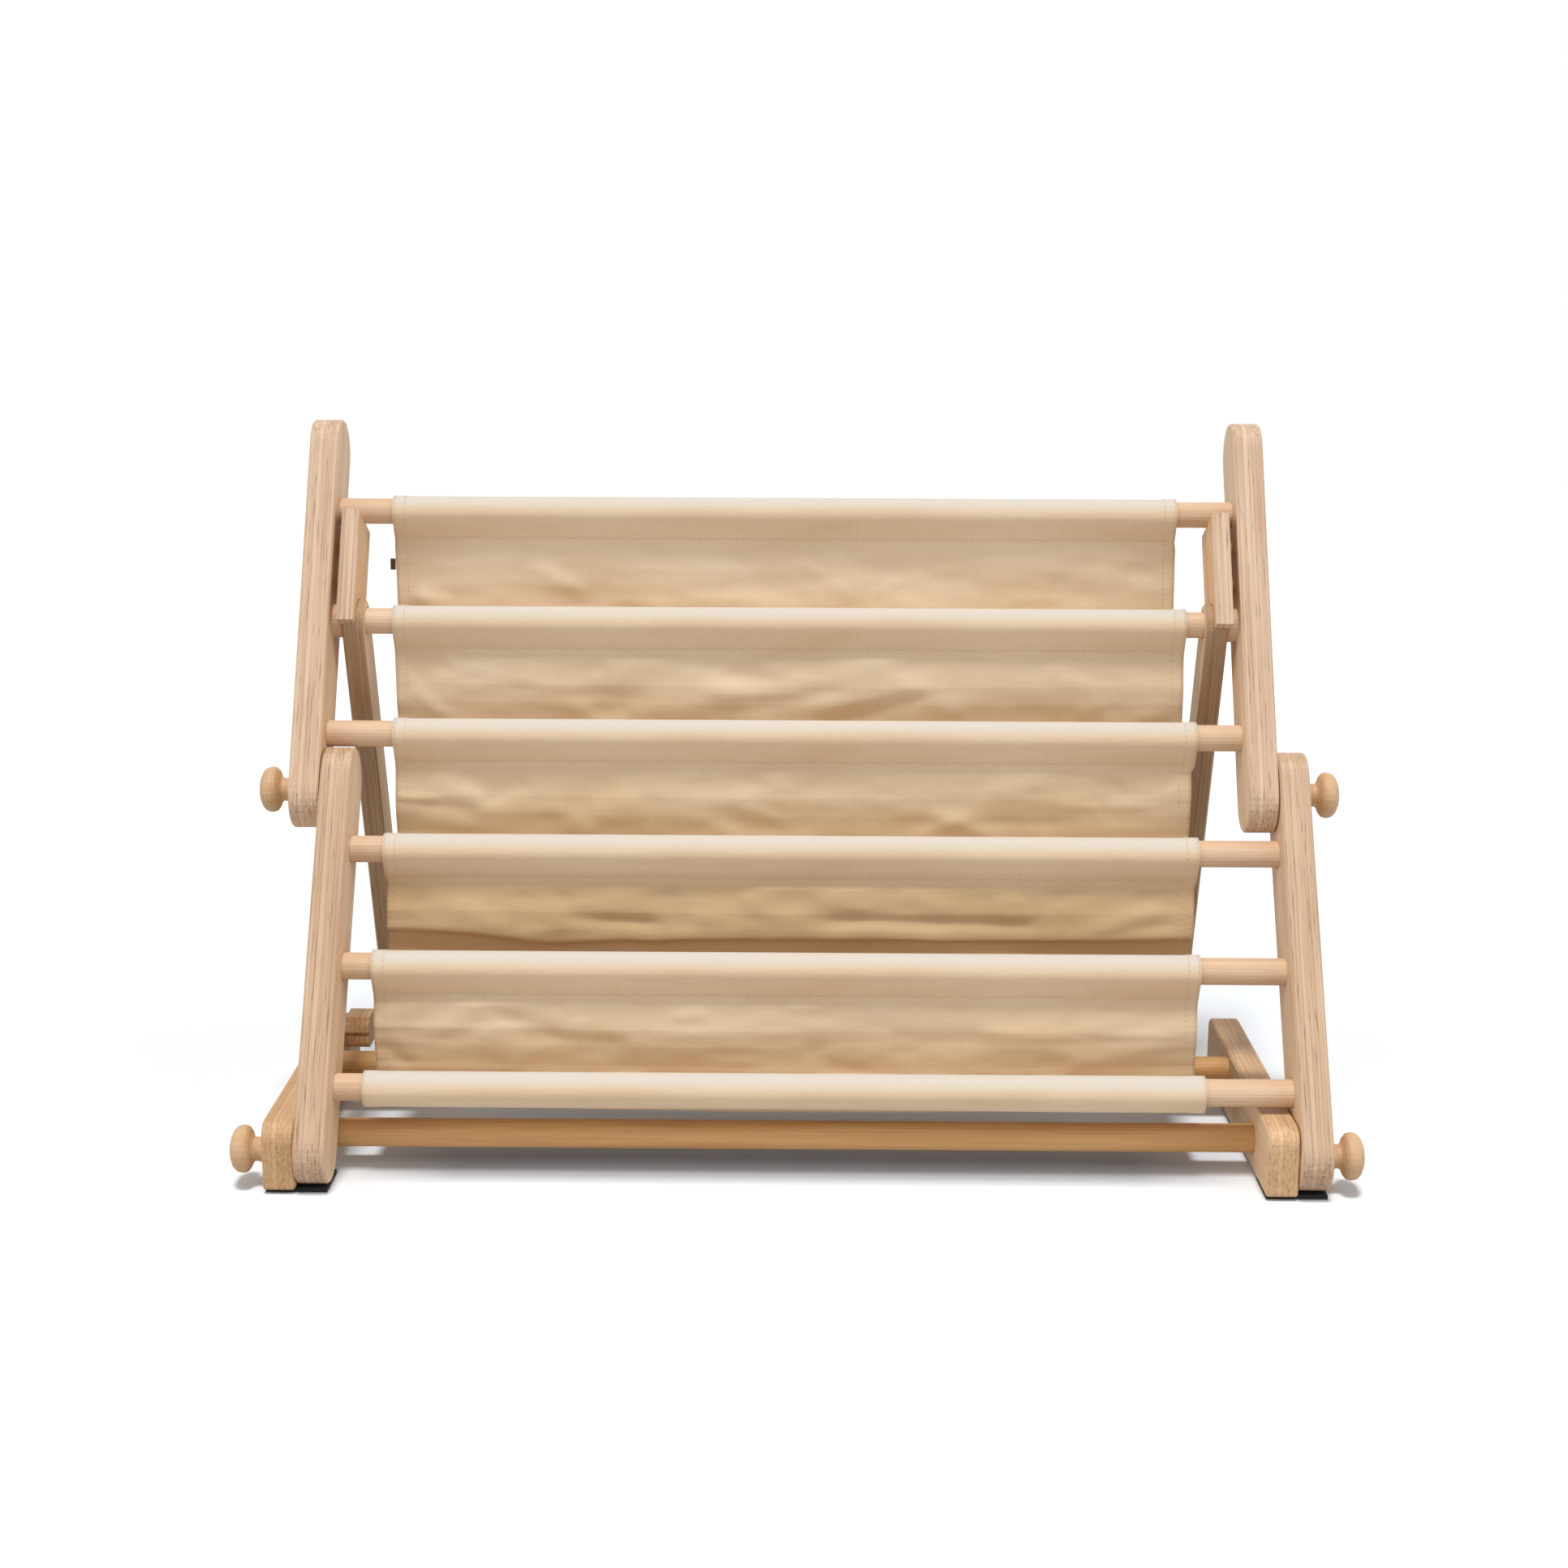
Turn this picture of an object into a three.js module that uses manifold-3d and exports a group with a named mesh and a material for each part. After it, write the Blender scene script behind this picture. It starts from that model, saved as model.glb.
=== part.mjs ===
// A sling bookshelf for children: a birch plywood frame that leans back on a swinging prop, with five
// canvas pockets hung on six dowels. Lengths are millimetres, angles degrees.
// X runs across the shelf, Y to the rear and Z up. The pieces are made with the lower pivots at Y = 0 and
// the floor at Z = 0, then moved together so that the origin lies under the middle of the whole shelf.
import * as THREE from "three";
import { mergeVertices } from "three/addons/utils/BufferGeometryUtils.js";
import Module from "manifold-3d";

const wasm = await Module();
wasm.setup();

// Boards
const frameWidth = 591.8; // over the outer faces of the base legs, and of the upper legs
const boardThickness = 18;
const boardWidth = 40;
const boardArris = 1; // easing of every board edge
const hingeGap = 0.7; // between two legs that turn on each other, filled by a washer

// Clearances
const fitClearance = 0.3; // round a glued or fixed piece
const turnClearance = 0.4; // round a piece that turns
const footRelief = 0.5; // the lower legs' round ends stay this far off the pads

// Stance, from the vertical
const lowerLean = 31.5; // lower frame, top to the rear
const upperLean = 27.75; // upper frame, top to the rear
const strutLean = 19.84; // prop, foot to the rear

// Rods
const rodDiameter = 16;
const rodChamfer = 1;
const rodSocketDepth = 10; // a rod's end sits this deep in a board
const rungPitch = 72.5; // from rung to rung on both frames
const lowRungClearance = 3.07; // lowest rung over the right base leg
const elbowRungClearance = 6.56; // highest lower rung under the round end of the right upper leg
const upperRungClearance = 1.5; // lowest upper rung over the round end of the left lower leg
const lowerLegOverrun = 6; // the lower legs' upper end centre passes the elbow pivot by this
const upperLegOverrun = 39.7; // top rung to the end centre of the upper legs
const upperLegUnderrun = 3; // the upper legs' lower end centre passes the elbow pivot by this

// Base
const baseLength = 213.2;
const baseFrontOverhang = 14.2; // in front of the pivot
const baseFrontCorner = 11; // radius of the upper front corner
const baseRearCorner = 8; // radius of the upper rear corner
const baseLowCorner = 2; // radius of the two lower corners
const barDiameter = 17;
const frontBarDrop = 2.3; // front crossbar below the pivot
const frontBarClearance = 2.1; // front crossbar to the left lower leg
const rearBarCover = 3.5; // wood over the rear crossbar
const rearBarSetback = 74; // rear crossbar from the base's rear end

// Pads
const padThickness = 2.5;
const padInset = 0.8; // from the boards' faces
const padLength = 30;
const frontPadStart = 10; // in front of the pivot
const rearPadSetback = 5; // from the base's rear end

// Notched block on the left base leg
const blockThickness = 15;
const blockSetback = 27; // from the base's rear end
const blockDepth = 22;
const blockRise = 9.5; // over the leg
const blockDrop = 10; // below the leg's top
const blockStepDepth = 4;
const blockStepHeight = 3.2;
const blockGrooveDepth = 5;
const blockGrooveHeight = 3;
const blockGrooveDrop = 5.8; // from the step's tread to the groove
const blockChamfer = 3;

// Prop
const strutThickness = 13.45;
const strutWidth = 26;
const strutSpacer = 6.55; // between a strut and the upper leg
const spacerWall = 2;
const footFlatDrop = 1.2; // how far the flat foot cuts into the strut's round end
const footBarRise = 34; // prop crossbar above the end centre, along the strut
const footBarSocket = 8;

// Stop plates over the strut heads
const plateThickness = 10.8;
const plateGap = 4.5; // between a plate and the upper leg
const plateHornDrop = 6; // front horn below the rung's axis
const plateTopRun = 66.2; // top edge above the rung's axis
const platePegDiameter = 10;
const platePegSetback = 7; // behind the leg's middle line
const platePegLow = 28; // above the rung's axis
const platePegHigh = 52;

// Clamping studs and knobs
const studDiameter = 8;
const studChamfer = 0.8;
const studInLeg = 14; // fixed in the inner leg of a pair, from its hinge side
const studInKnob = 12;
const washerDiameter = 24;
const knobDiameter = 27.6;
const knobLength = 20.3;
const knobBoreSpare = 1; // room past the stud's tip

// Cover
const clothLeftClearance = 18.2; // to the left lower leg
const clothRightClearance = 31.2; // to the right upper leg
const fabricThickness = 1.2;
const sleeveSlack = 0.3; // round the rod
const seamDrop = 8; // sewn tail under a sleeve
const pocketDrop = 17; // bottom of a pocket below the front rung's axis
const pocketSag = 4; // how much deeper the middle hangs
const foldDepth = 2.4;
const sewnGap = 0.35; // between two sewn pieces
const tagLength = 7;
const tagWidth = 3.2;
const tagThickness = 0.8;
const tagDrop = 12.2; // below the top sleeve's seam

// Knob outline from the leg outwards: share of the radius, share of the length.
const knobShares = [
  [0.66, 0],
  [0.62, 0.05],
  [0.53, 0.15],
  [0.5, 0.26],
  [0.54, 0.36],
  [0.72, 0.41],
  [0.9, 0.47],
  [0.985, 0.56],
  [1, 0.66],
  [0.96, 0.78],
  [0.84, 0.88],
  [0.6, 0.96],
  [0.32, 0.995],
];
// How far the cover has slipped to the right on each rung, from the top down, as a share of its width.
const slipShares = [-0.007, 0, 0.008, 0.004, -0.001, -0.002];
// Where the soft folds of each pocket lie across its width, how wide they are and how deep.
const foldShares = [
  [[0.12, 0.06, 0.7], [0.38, 0.1, -0.6], [0.64, 0.07, 0.8], [0.9, 0.05, -0.7]],
  [[0.2, 0.08, -0.8], [0.47, 0.06, 0.7], [0.7, 0.1, -0.5], [0.93, 0.05, 0.8]],
  [[0.09, 0.05, 0.8], [0.31, 0.08, 0.6], [0.55, 0.09, -0.7], [0.83, 0.07, 0.9]],
  [[0.15, 0.07, -0.6], [0.42, 0.07, 0.9], [0.6, 0.06, -0.8], [0.86, 0.08, 0.6]],
  [[0.1, 0.08, 0.7], [0.33, 0.06, -0.9], [0.58, 0.08, 0.6], [0.8, 0.06, -0.7]],
];
// Height of the level fold on the hanging sheet of each pocket, as a share of the sheet, and its depth.
const levelFoldShares = [
  [0.45, 0.5],
  [0.72, 0.4],
  [0.6, 0.5],
  [0.66, 2.2],
  [0.62, 0.5],
];

// Facets
const rodSides = 24;
const endSides = 16; // round the end of a leg or a strut
const cornerSides = 3; // per half of a rounded corner
const knobRows = 13;
const clothColumns = 11;
const clothRows = 11; // on the hanging part
const clothBend = 8; // round the bottom
const weldShare = 1e-7; // of the frame's width, for welding vertices

const half = (value) => value / 2;
const rodRadius = half(rodDiameter);
const barRadius = half(barDiameter);
const weldDistance = frameWidth * weldShare;

const plywood = { color: 0xdcc09c, roughness: 0.62, metalness: 0 };
const dowelWood = { color: 0xe6bf93, roughness: 0.55, metalness: 0 };
const knobWood = { color: 0xdba97c, roughness: 0.5, metalness: 0 };
const canvas = { color: 0xd6c3a6, roughness: 0.95, metalness: 0 };
const rubber = { color: 0x1d1c1c, roughness: 0.85, metalness: 0 };
const steel = { color: 0xb4b6b8, roughness: 0.35, metalness: 1 };
const tape = { color: 0x4a3629, roughness: 0.9, metalness: 0 };

// A point of the side view, [Y, Z].
const sum = (a, b) => [a[0] + b[0], a[1] + b[1]];
const times = (a, factor) => [a[0] * factor, a[1] * factor];
const radians = THREE.MathUtils.degToRad;

// Where a leaning line points: along it, and square to it towards the front.
function leaning(lean) {
  const angle = radians(lean);
  return {
    along: [Math.sin(angle), Math.cos(angle)],
    front: [-Math.cos(angle), Math.sin(angle)],
  };
}

const lowerLine = leaning(lowerLean);
const upperLine = leaning(upperLean);
const strutLine = leaning(-strutLean);

// Heights and pivots
const baseBottom = padThickness;
const baseTop = baseBottom + boardWidth;
const basePivot = [0, baseBottom + half(boardWidth)];
const baseRear = baseLength - baseFrontOverhang;

const lowRung = (half(boardWidth) + rodRadius + lowRungClearance) / lowerLine.along[1];
const lowerRungs = [lowRung, lowRung + rungPitch, lowRung + rungPitch + rungPitch];
const elbowRun = lowerRungs[2] + rodRadius + elbowRungClearance + half(boardWidth) + upperLegUnderrun;
const elbowPivot = sum(basePivot, times(lowerLine.along, elbowRun));
const lowerLegRun = elbowRun + lowerLegOverrun;

const firstUpperRung = lowerLegOverrun + half(boardWidth) + rodRadius + upperRungClearance;
const upperRungs = [firstUpperRung, firstUpperRung + rungPitch, firstUpperRung + rungPitch + rungPitch];
const upperLegRun = upperRungs[2] + upperLegOverrun;

const onLower = (run, front = 0) =>
  sum(basePivot, sum(times(lowerLine.along, run), times(lowerLine.front, front)));
const onUpper = (run, front = 0) =>
  sum(elbowPivot, sum(times(upperLine.along, run), times(upperLine.front, front)));

// The six rungs from the top down, as the cover meets them.
const rungs = [
  onUpper(upperRungs[2]),
  onUpper(upperRungs[1]),
  onUpper(upperRungs[0]),
  onLower(lowerRungs[2]),
  onLower(lowerRungs[1]),
  onLower(lowerRungs[0]),
];

// Crossbars
const frontBar = [
  (half(boardWidth) + barRadius + frontBarClearance - frontBarDrop * lowerLine.along[0]) /
    lowerLine.along[1],
  basePivot[1] - frontBarDrop,
];
const rearBar = [baseRear - rearBarSetback, baseTop - rearBarCover - barRadius];

// Prop
const strutPivot = rungs[1];
const footCentreHeight = half(strutWidth) - footFlatDrop;
const strutRun = (strutPivot[1] - footCentreHeight) / strutLine.along[1];
const onStrut = (run) => sum(strutPivot, times(strutLine.along, -run));

// Across the shelf: the outer pair of legs, and the lower frame shifted one board to the right.
const outerFace = half(frameWidth);
const innerFace = outerFace - boardThickness;
const lowerLeftInner = -innerFace + hingeGap + boardThickness;
const lowerRightInner = outerFace + hingeGap;
const strutOuter = innerFace - strutSpacer;
const strutInner = strutOuter - strutThickness;
const plateOuter = innerFace - plateGap;
const plateInner = plateOuter - plateThickness;
const clothLeft = lowerLeftInner + clothLeftClearance;
const clothRight = innerFace - clothRightClearance;
const clothWidth = clothRight - clothLeft;
const sleeveInside = rodRadius + sleeveSlack;
const sleeveOutside = sleeveInside + fabricThickness;

// Shape tools

// A closed geometry as a solid: its corners are welded before it is put in its place.
function solidFrom(geometry, place = new THREE.Matrix4()) {
  const bare = geometry.clone();
  bare.deleteAttribute("normal");
  bare.deleteAttribute("uv");
  const welded = mergeVertices(bare, weldDistance).applyMatrix4(place);
  const solidMesh = new wasm.Mesh({
    numProp: 3,
    vertProperties: new Float32Array(welded.attributes.position.array),
    triVerts: new Uint32Array(welded.index.array),
  });
  return new wasm.Manifold(solidMesh);
}

function geometryFrom(solid) {
  const mesh = solid.getMesh();
  const corners = new Float32Array(mesh.numVert * 3);
  for (let i = 0; i < mesh.numVert; i += 1) {
    const start = i * mesh.numProp;
    corners.set(mesh.vertProperties.subarray(start, start + 3), i * 3);
  }
  const geometry = new THREE.BufferGeometry();
  geometry.setAttribute("position", new THREE.BufferAttribute(corners, 3));
  geometry.setIndex(new THREE.BufferAttribute(new Uint32Array(mesh.triVerts), 1));
  const flat = geometry.toNonIndexed();
  flat.computeVertexNormals();
  return flat;
}

// A side-view outline made into a board from x = from to x = to, with eased edges.
function board(shape, from, to, arris) {
  const thickness = to - from;
  const geometry = new THREE.ExtrudeGeometry(shape, {
    depth: thickness - arris - arris,
    bevelEnabled: arris > 0,
    bevelThickness: arris,
    bevelSize: arris,
    bevelOffset: -arris,
    bevelSegments: 1,
    curveSegments: cornerSides,
  });
  const acrossShelf = new THREE.Matrix4().makeBasis(
    new THREE.Vector3(0, 1, 0),
    new THREE.Vector3(0, 0, 1),
    new THREE.Vector3(1, 0, 0),
  );
  return solidFrom(geometry, acrossShelf.setPosition(from + arris, 0, 0));
}

// A body turned about a line across the shelf; the outline is [radius, x] from the axis to the axis.
function turned(outline, centre, sides = rodSides) {
  const points = outline.map(([radius, x]) => new THREE.Vector2(radius, x));
  const geometry = new THREE.LatheGeometry(points, sides);
  const acrossShelf = new THREE.Matrix4().makeBasis(
    new THREE.Vector3(0, 1, 0),
    new THREE.Vector3(1, 0, 0),
    new THREE.Vector3(0, 0, -1),
  );
  return solidFrom(geometry, acrossShelf.setPosition(0, centre[0], centre[1]));
}

function rod(radius, from, to, centre, chamfer = 0, sides = rodSides) {
  const outline = [[0, from]];
  if (chamfer > 0) outline.push([radius - chamfer, from]);
  outline.push([radius, from + chamfer]);
  outline.push([radius, to - chamfer]);
  if (chamfer > 0) outline.push([radius - chamfer, to]);
  outline.push([0, to]);
  return turned(outline, centre, sides);
}

// The outline of a leaning board with round ends; the lower end can be a little flatter.
function roundEndedShape(pivot, line, lowEnd, highEnd, width, relief = 0) {
  const radius = half(width);
  const outline = [];
  for (let i = 0; i <= endSides; i += 1) {
    const turn = (Math.PI * i) / endSides;
    const front = radius * Math.cos(turn);
    outline.push([highEnd + radius * Math.sin(turn), front]);
  }
  for (let i = 0; i <= endSides; i += 1) {
    const turn = (Math.PI * i) / endSides;
    const front = -radius * Math.cos(turn);
    outline.push([lowEnd - (radius - relief) * Math.sin(turn), front]);
  }
  const points = outline.map(([run, front]) =>
    sum(pivot, sum(times(line.along, run), times(line.front, front))),
  );
  return new THREE.Shape(points.map(([y, z]) => new THREE.Vector2(y, z)));
}

function polygonShape(points) {
  return new THREE.Shape(points.map(([y, z]) => new THREE.Vector2(y, z)));
}

const group = new THREE.Group();
group.name = "sling_bookshelf";

function addPiece(name, solid, look) {
  const mesh = new THREE.Mesh(geometryFrom(solid), new THREE.MeshStandardMaterial(look));
  mesh.name = name;
  group.add(mesh);
}

// A blind socket for a rod, cut into a board's inner face; side is -1 on the left and 1 on the right.
function socket(face, side, centre, radius, depth = rodSocketDepth) {
  const far = face + side * depth;
  const near = face - side * boardArris;
  return rod(radius + fitClearance, Math.min(near, far), Math.max(near, far), centre);
}

function throughHole(from, to, centre, radius) {
  return rod(radius, from - boardArris, to + boardArris, centre);
}

const studHoleRadius = half(studDiameter) + turnClearance;
const rodTip = rodSocketDepth - fitClearance;

// Base: two legs on the floor, two crossbars, pads and the notched block.

function baseLegShape() {
  const shape = new THREE.Shape();
  const front = -baseFrontOverhang;
  shape.moveTo(front + baseLowCorner, baseBottom);
  shape.lineTo(baseRear - baseLowCorner, baseBottom);
  shape.absarc(baseRear - baseLowCorner, baseBottom + baseLowCorner, baseLowCorner, -Math.PI / 2, 0);
  shape.lineTo(baseRear, baseTop - baseRearCorner);
  shape.absarc(baseRear - baseRearCorner, baseTop - baseRearCorner, baseRearCorner, 0, Math.PI / 2);
  shape.lineTo(front + baseFrontCorner, baseTop);
  shape.absarc(front + baseFrontCorner, baseTop - baseFrontCorner, baseFrontCorner, Math.PI / 2, Math.PI);
  shape.lineTo(front, baseBottom + baseLowCorner);
  shape.absarc(front + baseLowCorner, baseBottom + baseLowCorner, baseLowCorner, Math.PI, Math.PI * 1.5);
  return shape;
}

// The face of a pair's inner leg that its outer leg turns on.
const hingeFace = (side) => (side < 0 ? lowerLeftInner - boardThickness : outerFace);

// The hole of a clamping stud: through an outer leg, blind in the inner leg from its hinge side.
function studHole(side, centre, isInner) {
  const face = hingeFace(side);
  if (isInner) return socket(face, -side, centre, half(studDiameter), studInLeg + fitClearance);
  const far = face + side * (hingeGap + boardThickness);
  return throughHole(Math.min(face, far), Math.max(face, far), centre, studHoleRadius);
}

function baseLeg(side) {
  const from = side < 0 ? -outerFace : innerFace;
  const to = from + boardThickness;
  let leg = board(baseLegShape(), from, to, boardArris);
  leg = leg.subtract(studHole(side, basePivot, side > 0));
  leg = leg.subtract(socket(side * innerFace, side, frontBar, barRadius));
  return leg.subtract(socket(side * innerFace, side, rearBar, barRadius));
}

addPiece("base_leg_left", baseLeg(-1), plywood);
addPiece("base_leg_right", baseLeg(1), plywood);

const barEnd = innerFace + rodTip;
addPiece("base_crossbar_front", rod(barRadius, -barEnd, barEnd, frontBar, rodChamfer), dowelWood);
addPiece("base_crossbar_rear", rod(barRadius, -barEnd, barEnd, rearBar, rodChamfer), dowelWood);

function pad(from, to, start) {
  const shape = polygonShape([
    [start, 0],
    [start + padLength, 0],
    [start + padLength, baseBottom],
    [start, baseBottom],
  ]);
  return board(shape, from + padInset, to - padInset, 0);
}

const rearPadStart = baseRear - rearPadSetback - padLength;
addPiece("pad_front_left", pad(-outerFace, lowerLeftInner, -frontPadStart), rubber);
addPiece("pad_front_right", pad(innerFace, lowerRightInner + boardThickness, -frontPadStart), rubber);
addPiece("pad_rear_left", pad(-outerFace, -innerFace, rearPadStart), rubber);
addPiece("pad_rear_right", pad(innerFace, outerFace, rearPadStart), rubber);

function notchedBlock() {
  const front = baseRear - blockSetback - blockDepth;
  const back = front + blockDepth;
  const bottom = baseTop - blockDrop;
  const top = baseTop + blockRise;
  const tread = top - blockStepHeight;
  const grooveTop = tread - blockGrooveDrop;
  const grooveBottom = grooveTop - blockGrooveHeight;
  const shape = polygonShape([
    [front + blockChamfer, bottom],
    [back, bottom],
    [back, top],
    [front + blockStepDepth, top],
    [front + blockStepDepth, tread],
    [front, tread],
    [front, grooveTop],
    [front + blockGrooveDepth, grooveTop],
    [front + blockGrooveDepth, grooveBottom],
    [front, grooveBottom],
    [front, bottom + blockChamfer],
  ]);
  return board(shape, -innerFace, -innerFace + blockThickness, 0);
}

addPiece("notched_block", notchedBlock(), plywood);

// Lower frame: two leaning legs and three rungs, one board to the right of the base.

function lowerLeg(side) {
  const from = side < 0 ? lowerLeftInner - boardThickness : lowerRightInner;
  const rungFace = side < 0 ? lowerLeftInner : lowerRightInner;
  const shape = roundEndedShape(basePivot, lowerLine, 0, lowerLegRun, boardWidth, footRelief);
  let leg = board(shape, from, from + boardThickness, boardArris);
  for (const pivot of [basePivot, elbowPivot]) leg = leg.subtract(studHole(side, pivot, side < 0));
  for (const rung of rungs.slice(3)) leg = leg.subtract(socket(rungFace, side, rung, rodRadius));
  return leg;
}

addPiece("lower_leg_left", lowerLeg(-1), plywood);
addPiece("lower_leg_right", lowerLeg(1), plywood);
for (const [index, rung] of rungs.slice(3).entries()) {
  const name = "rung_" + (index + 4);
  const left = lowerLeftInner - rodTip;
  const right = lowerRightInner + rodTip;
  addPiece(name, rod(rodRadius, left, right, rung, rodChamfer), dowelWood);
}

// Upper frame: two leaning legs and three rungs, with the stop plates and spacers on the second rung.

function upperLeg(side) {
  const from = side < 0 ? -outerFace : innerFace;
  const to = from + boardThickness;
  const shape = roundEndedShape(elbowPivot, upperLine, -upperLegUnderrun, upperLegRun, boardWidth);
  let leg = board(shape, from, to, boardArris);
  leg = leg.subtract(studHole(side, elbowPivot, side > 0));
  for (const rung of rungs.slice(0, 3)) {
    leg = leg.subtract(socket(side * innerFace, side, rung, rodRadius));
  }
  return leg;
}

addPiece("upper_leg_left", upperLeg(-1), plywood);
addPiece("upper_leg_right", upperLeg(1), plywood);
for (const [index, rung] of rungs.slice(0, 3).entries()) {
  const name = "rung_" + (index + 1);
  const tip = innerFace + rodTip;
  addPiece(name, rod(rodRadius, -tip, tip, rung, rodChamfer), dowelWood);
}

// The strut seen from the side, wider all round by a clearance.
function strutShape(extra) {
  const width = strutWidth + extra + extra;
  return roundEndedShape(strutPivot, strutLine, -strutRun, 0, width);
}

// A plate that fills the leg's outline over the strut's head; its rear lower edge lies along the strut.
function stopPlate(side) {
  const corners = [
    onUpper(upperRungs[1] - plateHornDrop, half(boardWidth)),
    onUpper(upperRungs[1] + plateTopRun, half(boardWidth)),
    onUpper(upperRungs[1] + plateTopRun, -half(boardWidth)),
    onUpper(upperRungs[1] - plateHornDrop, -half(boardWidth)),
  ];
  const near = side < 0 ? -plateOuter : plateInner;
  let plate = board(polygonShape(corners), near, near + plateThickness, boardArris);
  const reach = boardThickness;
  plate = plate.subtract(board(strutShape(turnClearance), near - reach, near + reach, 0));
  const belowRung = polygonShape([
    onUpper(upperRungs[1] - plateHornDrop - reach, 0),
    onUpper(upperRungs[1], 0),
    onUpper(upperRungs[1], -boardWidth),
    onUpper(upperRungs[1] - plateHornDrop - reach, -boardWidth),
  ]);
  plate = plate.subtract(board(belowRung, near - reach, near + reach, 0));
  const seat = rod(rodRadius + fitClearance, near - reach, near + reach, rungs[0]);
  plate = plate.subtract(seat);
  const pegStart = side < 0 ? -innerFace : plateOuter - boardArris;
  const pegEnd = side < 0 ? -plateOuter + boardArris : innerFace;
  for (const rise of [platePegLow, platePegHigh]) {
    const centre = onUpper(upperRungs[1] + rise, -platePegSetback);
    const peg = rod(half(platePegDiameter), pegStart, pegEnd, centre);
    plate = plate.add(peg);
  }
  return plate;
}

addPiece("stop_plate_left", stopPlate(-1), plywood);
addPiece("stop_plate_right", stopPlate(1), plywood);

function ring(outside, inside, from, to, centre) {
  return rod(outside, from, to, centre).subtract(throughHole(from, to, centre, inside));
}

const spacerInside = rodRadius + fitClearance;
const spacerOutside = spacerInside + spacerWall;
const leftSpacer = ring(spacerOutside, spacerInside, -innerFace, -strutOuter - fitClearance, strutPivot);
const rightSpacer = ring(spacerOutside, spacerInside, strutOuter + fitClearance, innerFace, strutPivot);
addPiece("strut_spacer_left", leftSpacer, dowelWood);
addPiece("strut_spacer_right", rightSpacer, dowelWood);

// Prop: two struts that swing on the second rung, joined near the floor.

const footBar = onStrut(strutRun - footBarRise);

function strut(side) {
  const from = side < 0 ? -strutOuter : strutInner;
  const to = from + strutThickness;
  let piece = board(strutShape(0), from, to, boardArris);
  const belowFloor = polygonShape([
    [strutPivot[0], -strutWidth],
    [strutPivot[0] + strutRun, -strutWidth],
    [strutPivot[0] + strutRun, 0],
    [strutPivot[0], 0],
  ]);
  piece = piece.subtract(board(belowFloor, from - boardArris, to + boardArris, 0));
  piece = piece.subtract(throughHole(from, to, strutPivot, rodRadius + turnClearance));
  return piece.subtract(socket(side * strutInner, side, footBar, rodRadius, footBarSocket));
}

addPiece("strut_left", strut(-1), plywood);
addPiece("strut_right", strut(1), plywood);
const footBarEnd = strutInner + footBarSocket - fitClearance;
addPiece("strut_crossbar", rod(rodRadius, -footBarEnd, footBarEnd, footBar, rodChamfer), dowelWood);

// Clamping joints: a stud fixed in the inner leg, a washer between the legs and a turned knob outside.

function joint(name, centre, side) {
  const face = hingeFace(side);
  const knobFace = face + side * (hingeGap + boardThickness);
  const ordered = (a, b) => [Math.min(a, b), Math.max(a, b)];
  const tip = knobFace + side * studInKnob;
  const studEnds = ordered(face - side * studInLeg, tip);
  addPiece(name + "_stud", rod(half(studDiameter), ...studEnds, centre, studChamfer), steel);

  const washerEnds = ordered(face, face + side * hingeGap);
  addPiece(name + "_washer", ring(half(washerDiameter), studHoleRadius, ...washerEnds, centre), steel);

  const outline = knobShares.map(
    ([radiusShare, lengthShare]) =>
      new THREE.Vector2(radiusShare * half(knobDiameter), lengthShare * knobLength),
  );
  const smooth = new THREE.SplineCurve(outline).getPoints(knobRows);
  const radii = smooth.map((point) => [Math.min(point.x, half(knobDiameter)), point.y]);
  const knobOutline = [[0, 0], ...radii, [0, knobLength]];
  const placed = knobOutline.map(([radius, run]) => [radius, knobFace + side * run]);
  if (side < 0) placed.reverse();
  const boreEnds = ordered(knobFace - side * boardArris, tip + side * knobBoreSpare);
  const knob = turned(placed, centre).subtract(rod(studHoleRadius, ...boreEnds, centre));
  addPiece(name + "_knob", knob, knobWood);
}

joint("base_left", basePivot, -1);
joint("base_right", basePivot, 1);
joint("elbow_left", elbowPivot, -1);
joint("elbow_right", elbowPivot, 1);

// Cover: a sleeve round every rung, and under each of five a sewn tail with a hanging pocket.

function sleeve(index) {
  const centre = rungs[index];
  const slip = slipShares[index] * clothWidth;
  const tube = ring(sleeveOutside, sleeveInside, clothLeft + slip, clothRight + slip, centre);
  if (index === foldShares.length) return tube;
  const tailTop = centre[1] - sleeveInside - half(fabricThickness);
  const tailBottom = centre[1] - sleeveOutside - seamDrop;
  const tail = polygonShape([
    [centre[0] - fabricThickness, tailBottom],
    [centre[0] + fabricThickness, tailBottom],
    [centre[0] + fabricThickness, tailTop],
    [centre[0] - fabricThickness, tailTop],
  ]);
  return tube.add(board(tail, clothLeft + slip + sewnGap, clothRight + slip - sewnGap, 0));
}

const bump = (distance, width) => Math.exp(-((distance / width) ** 2));

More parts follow.
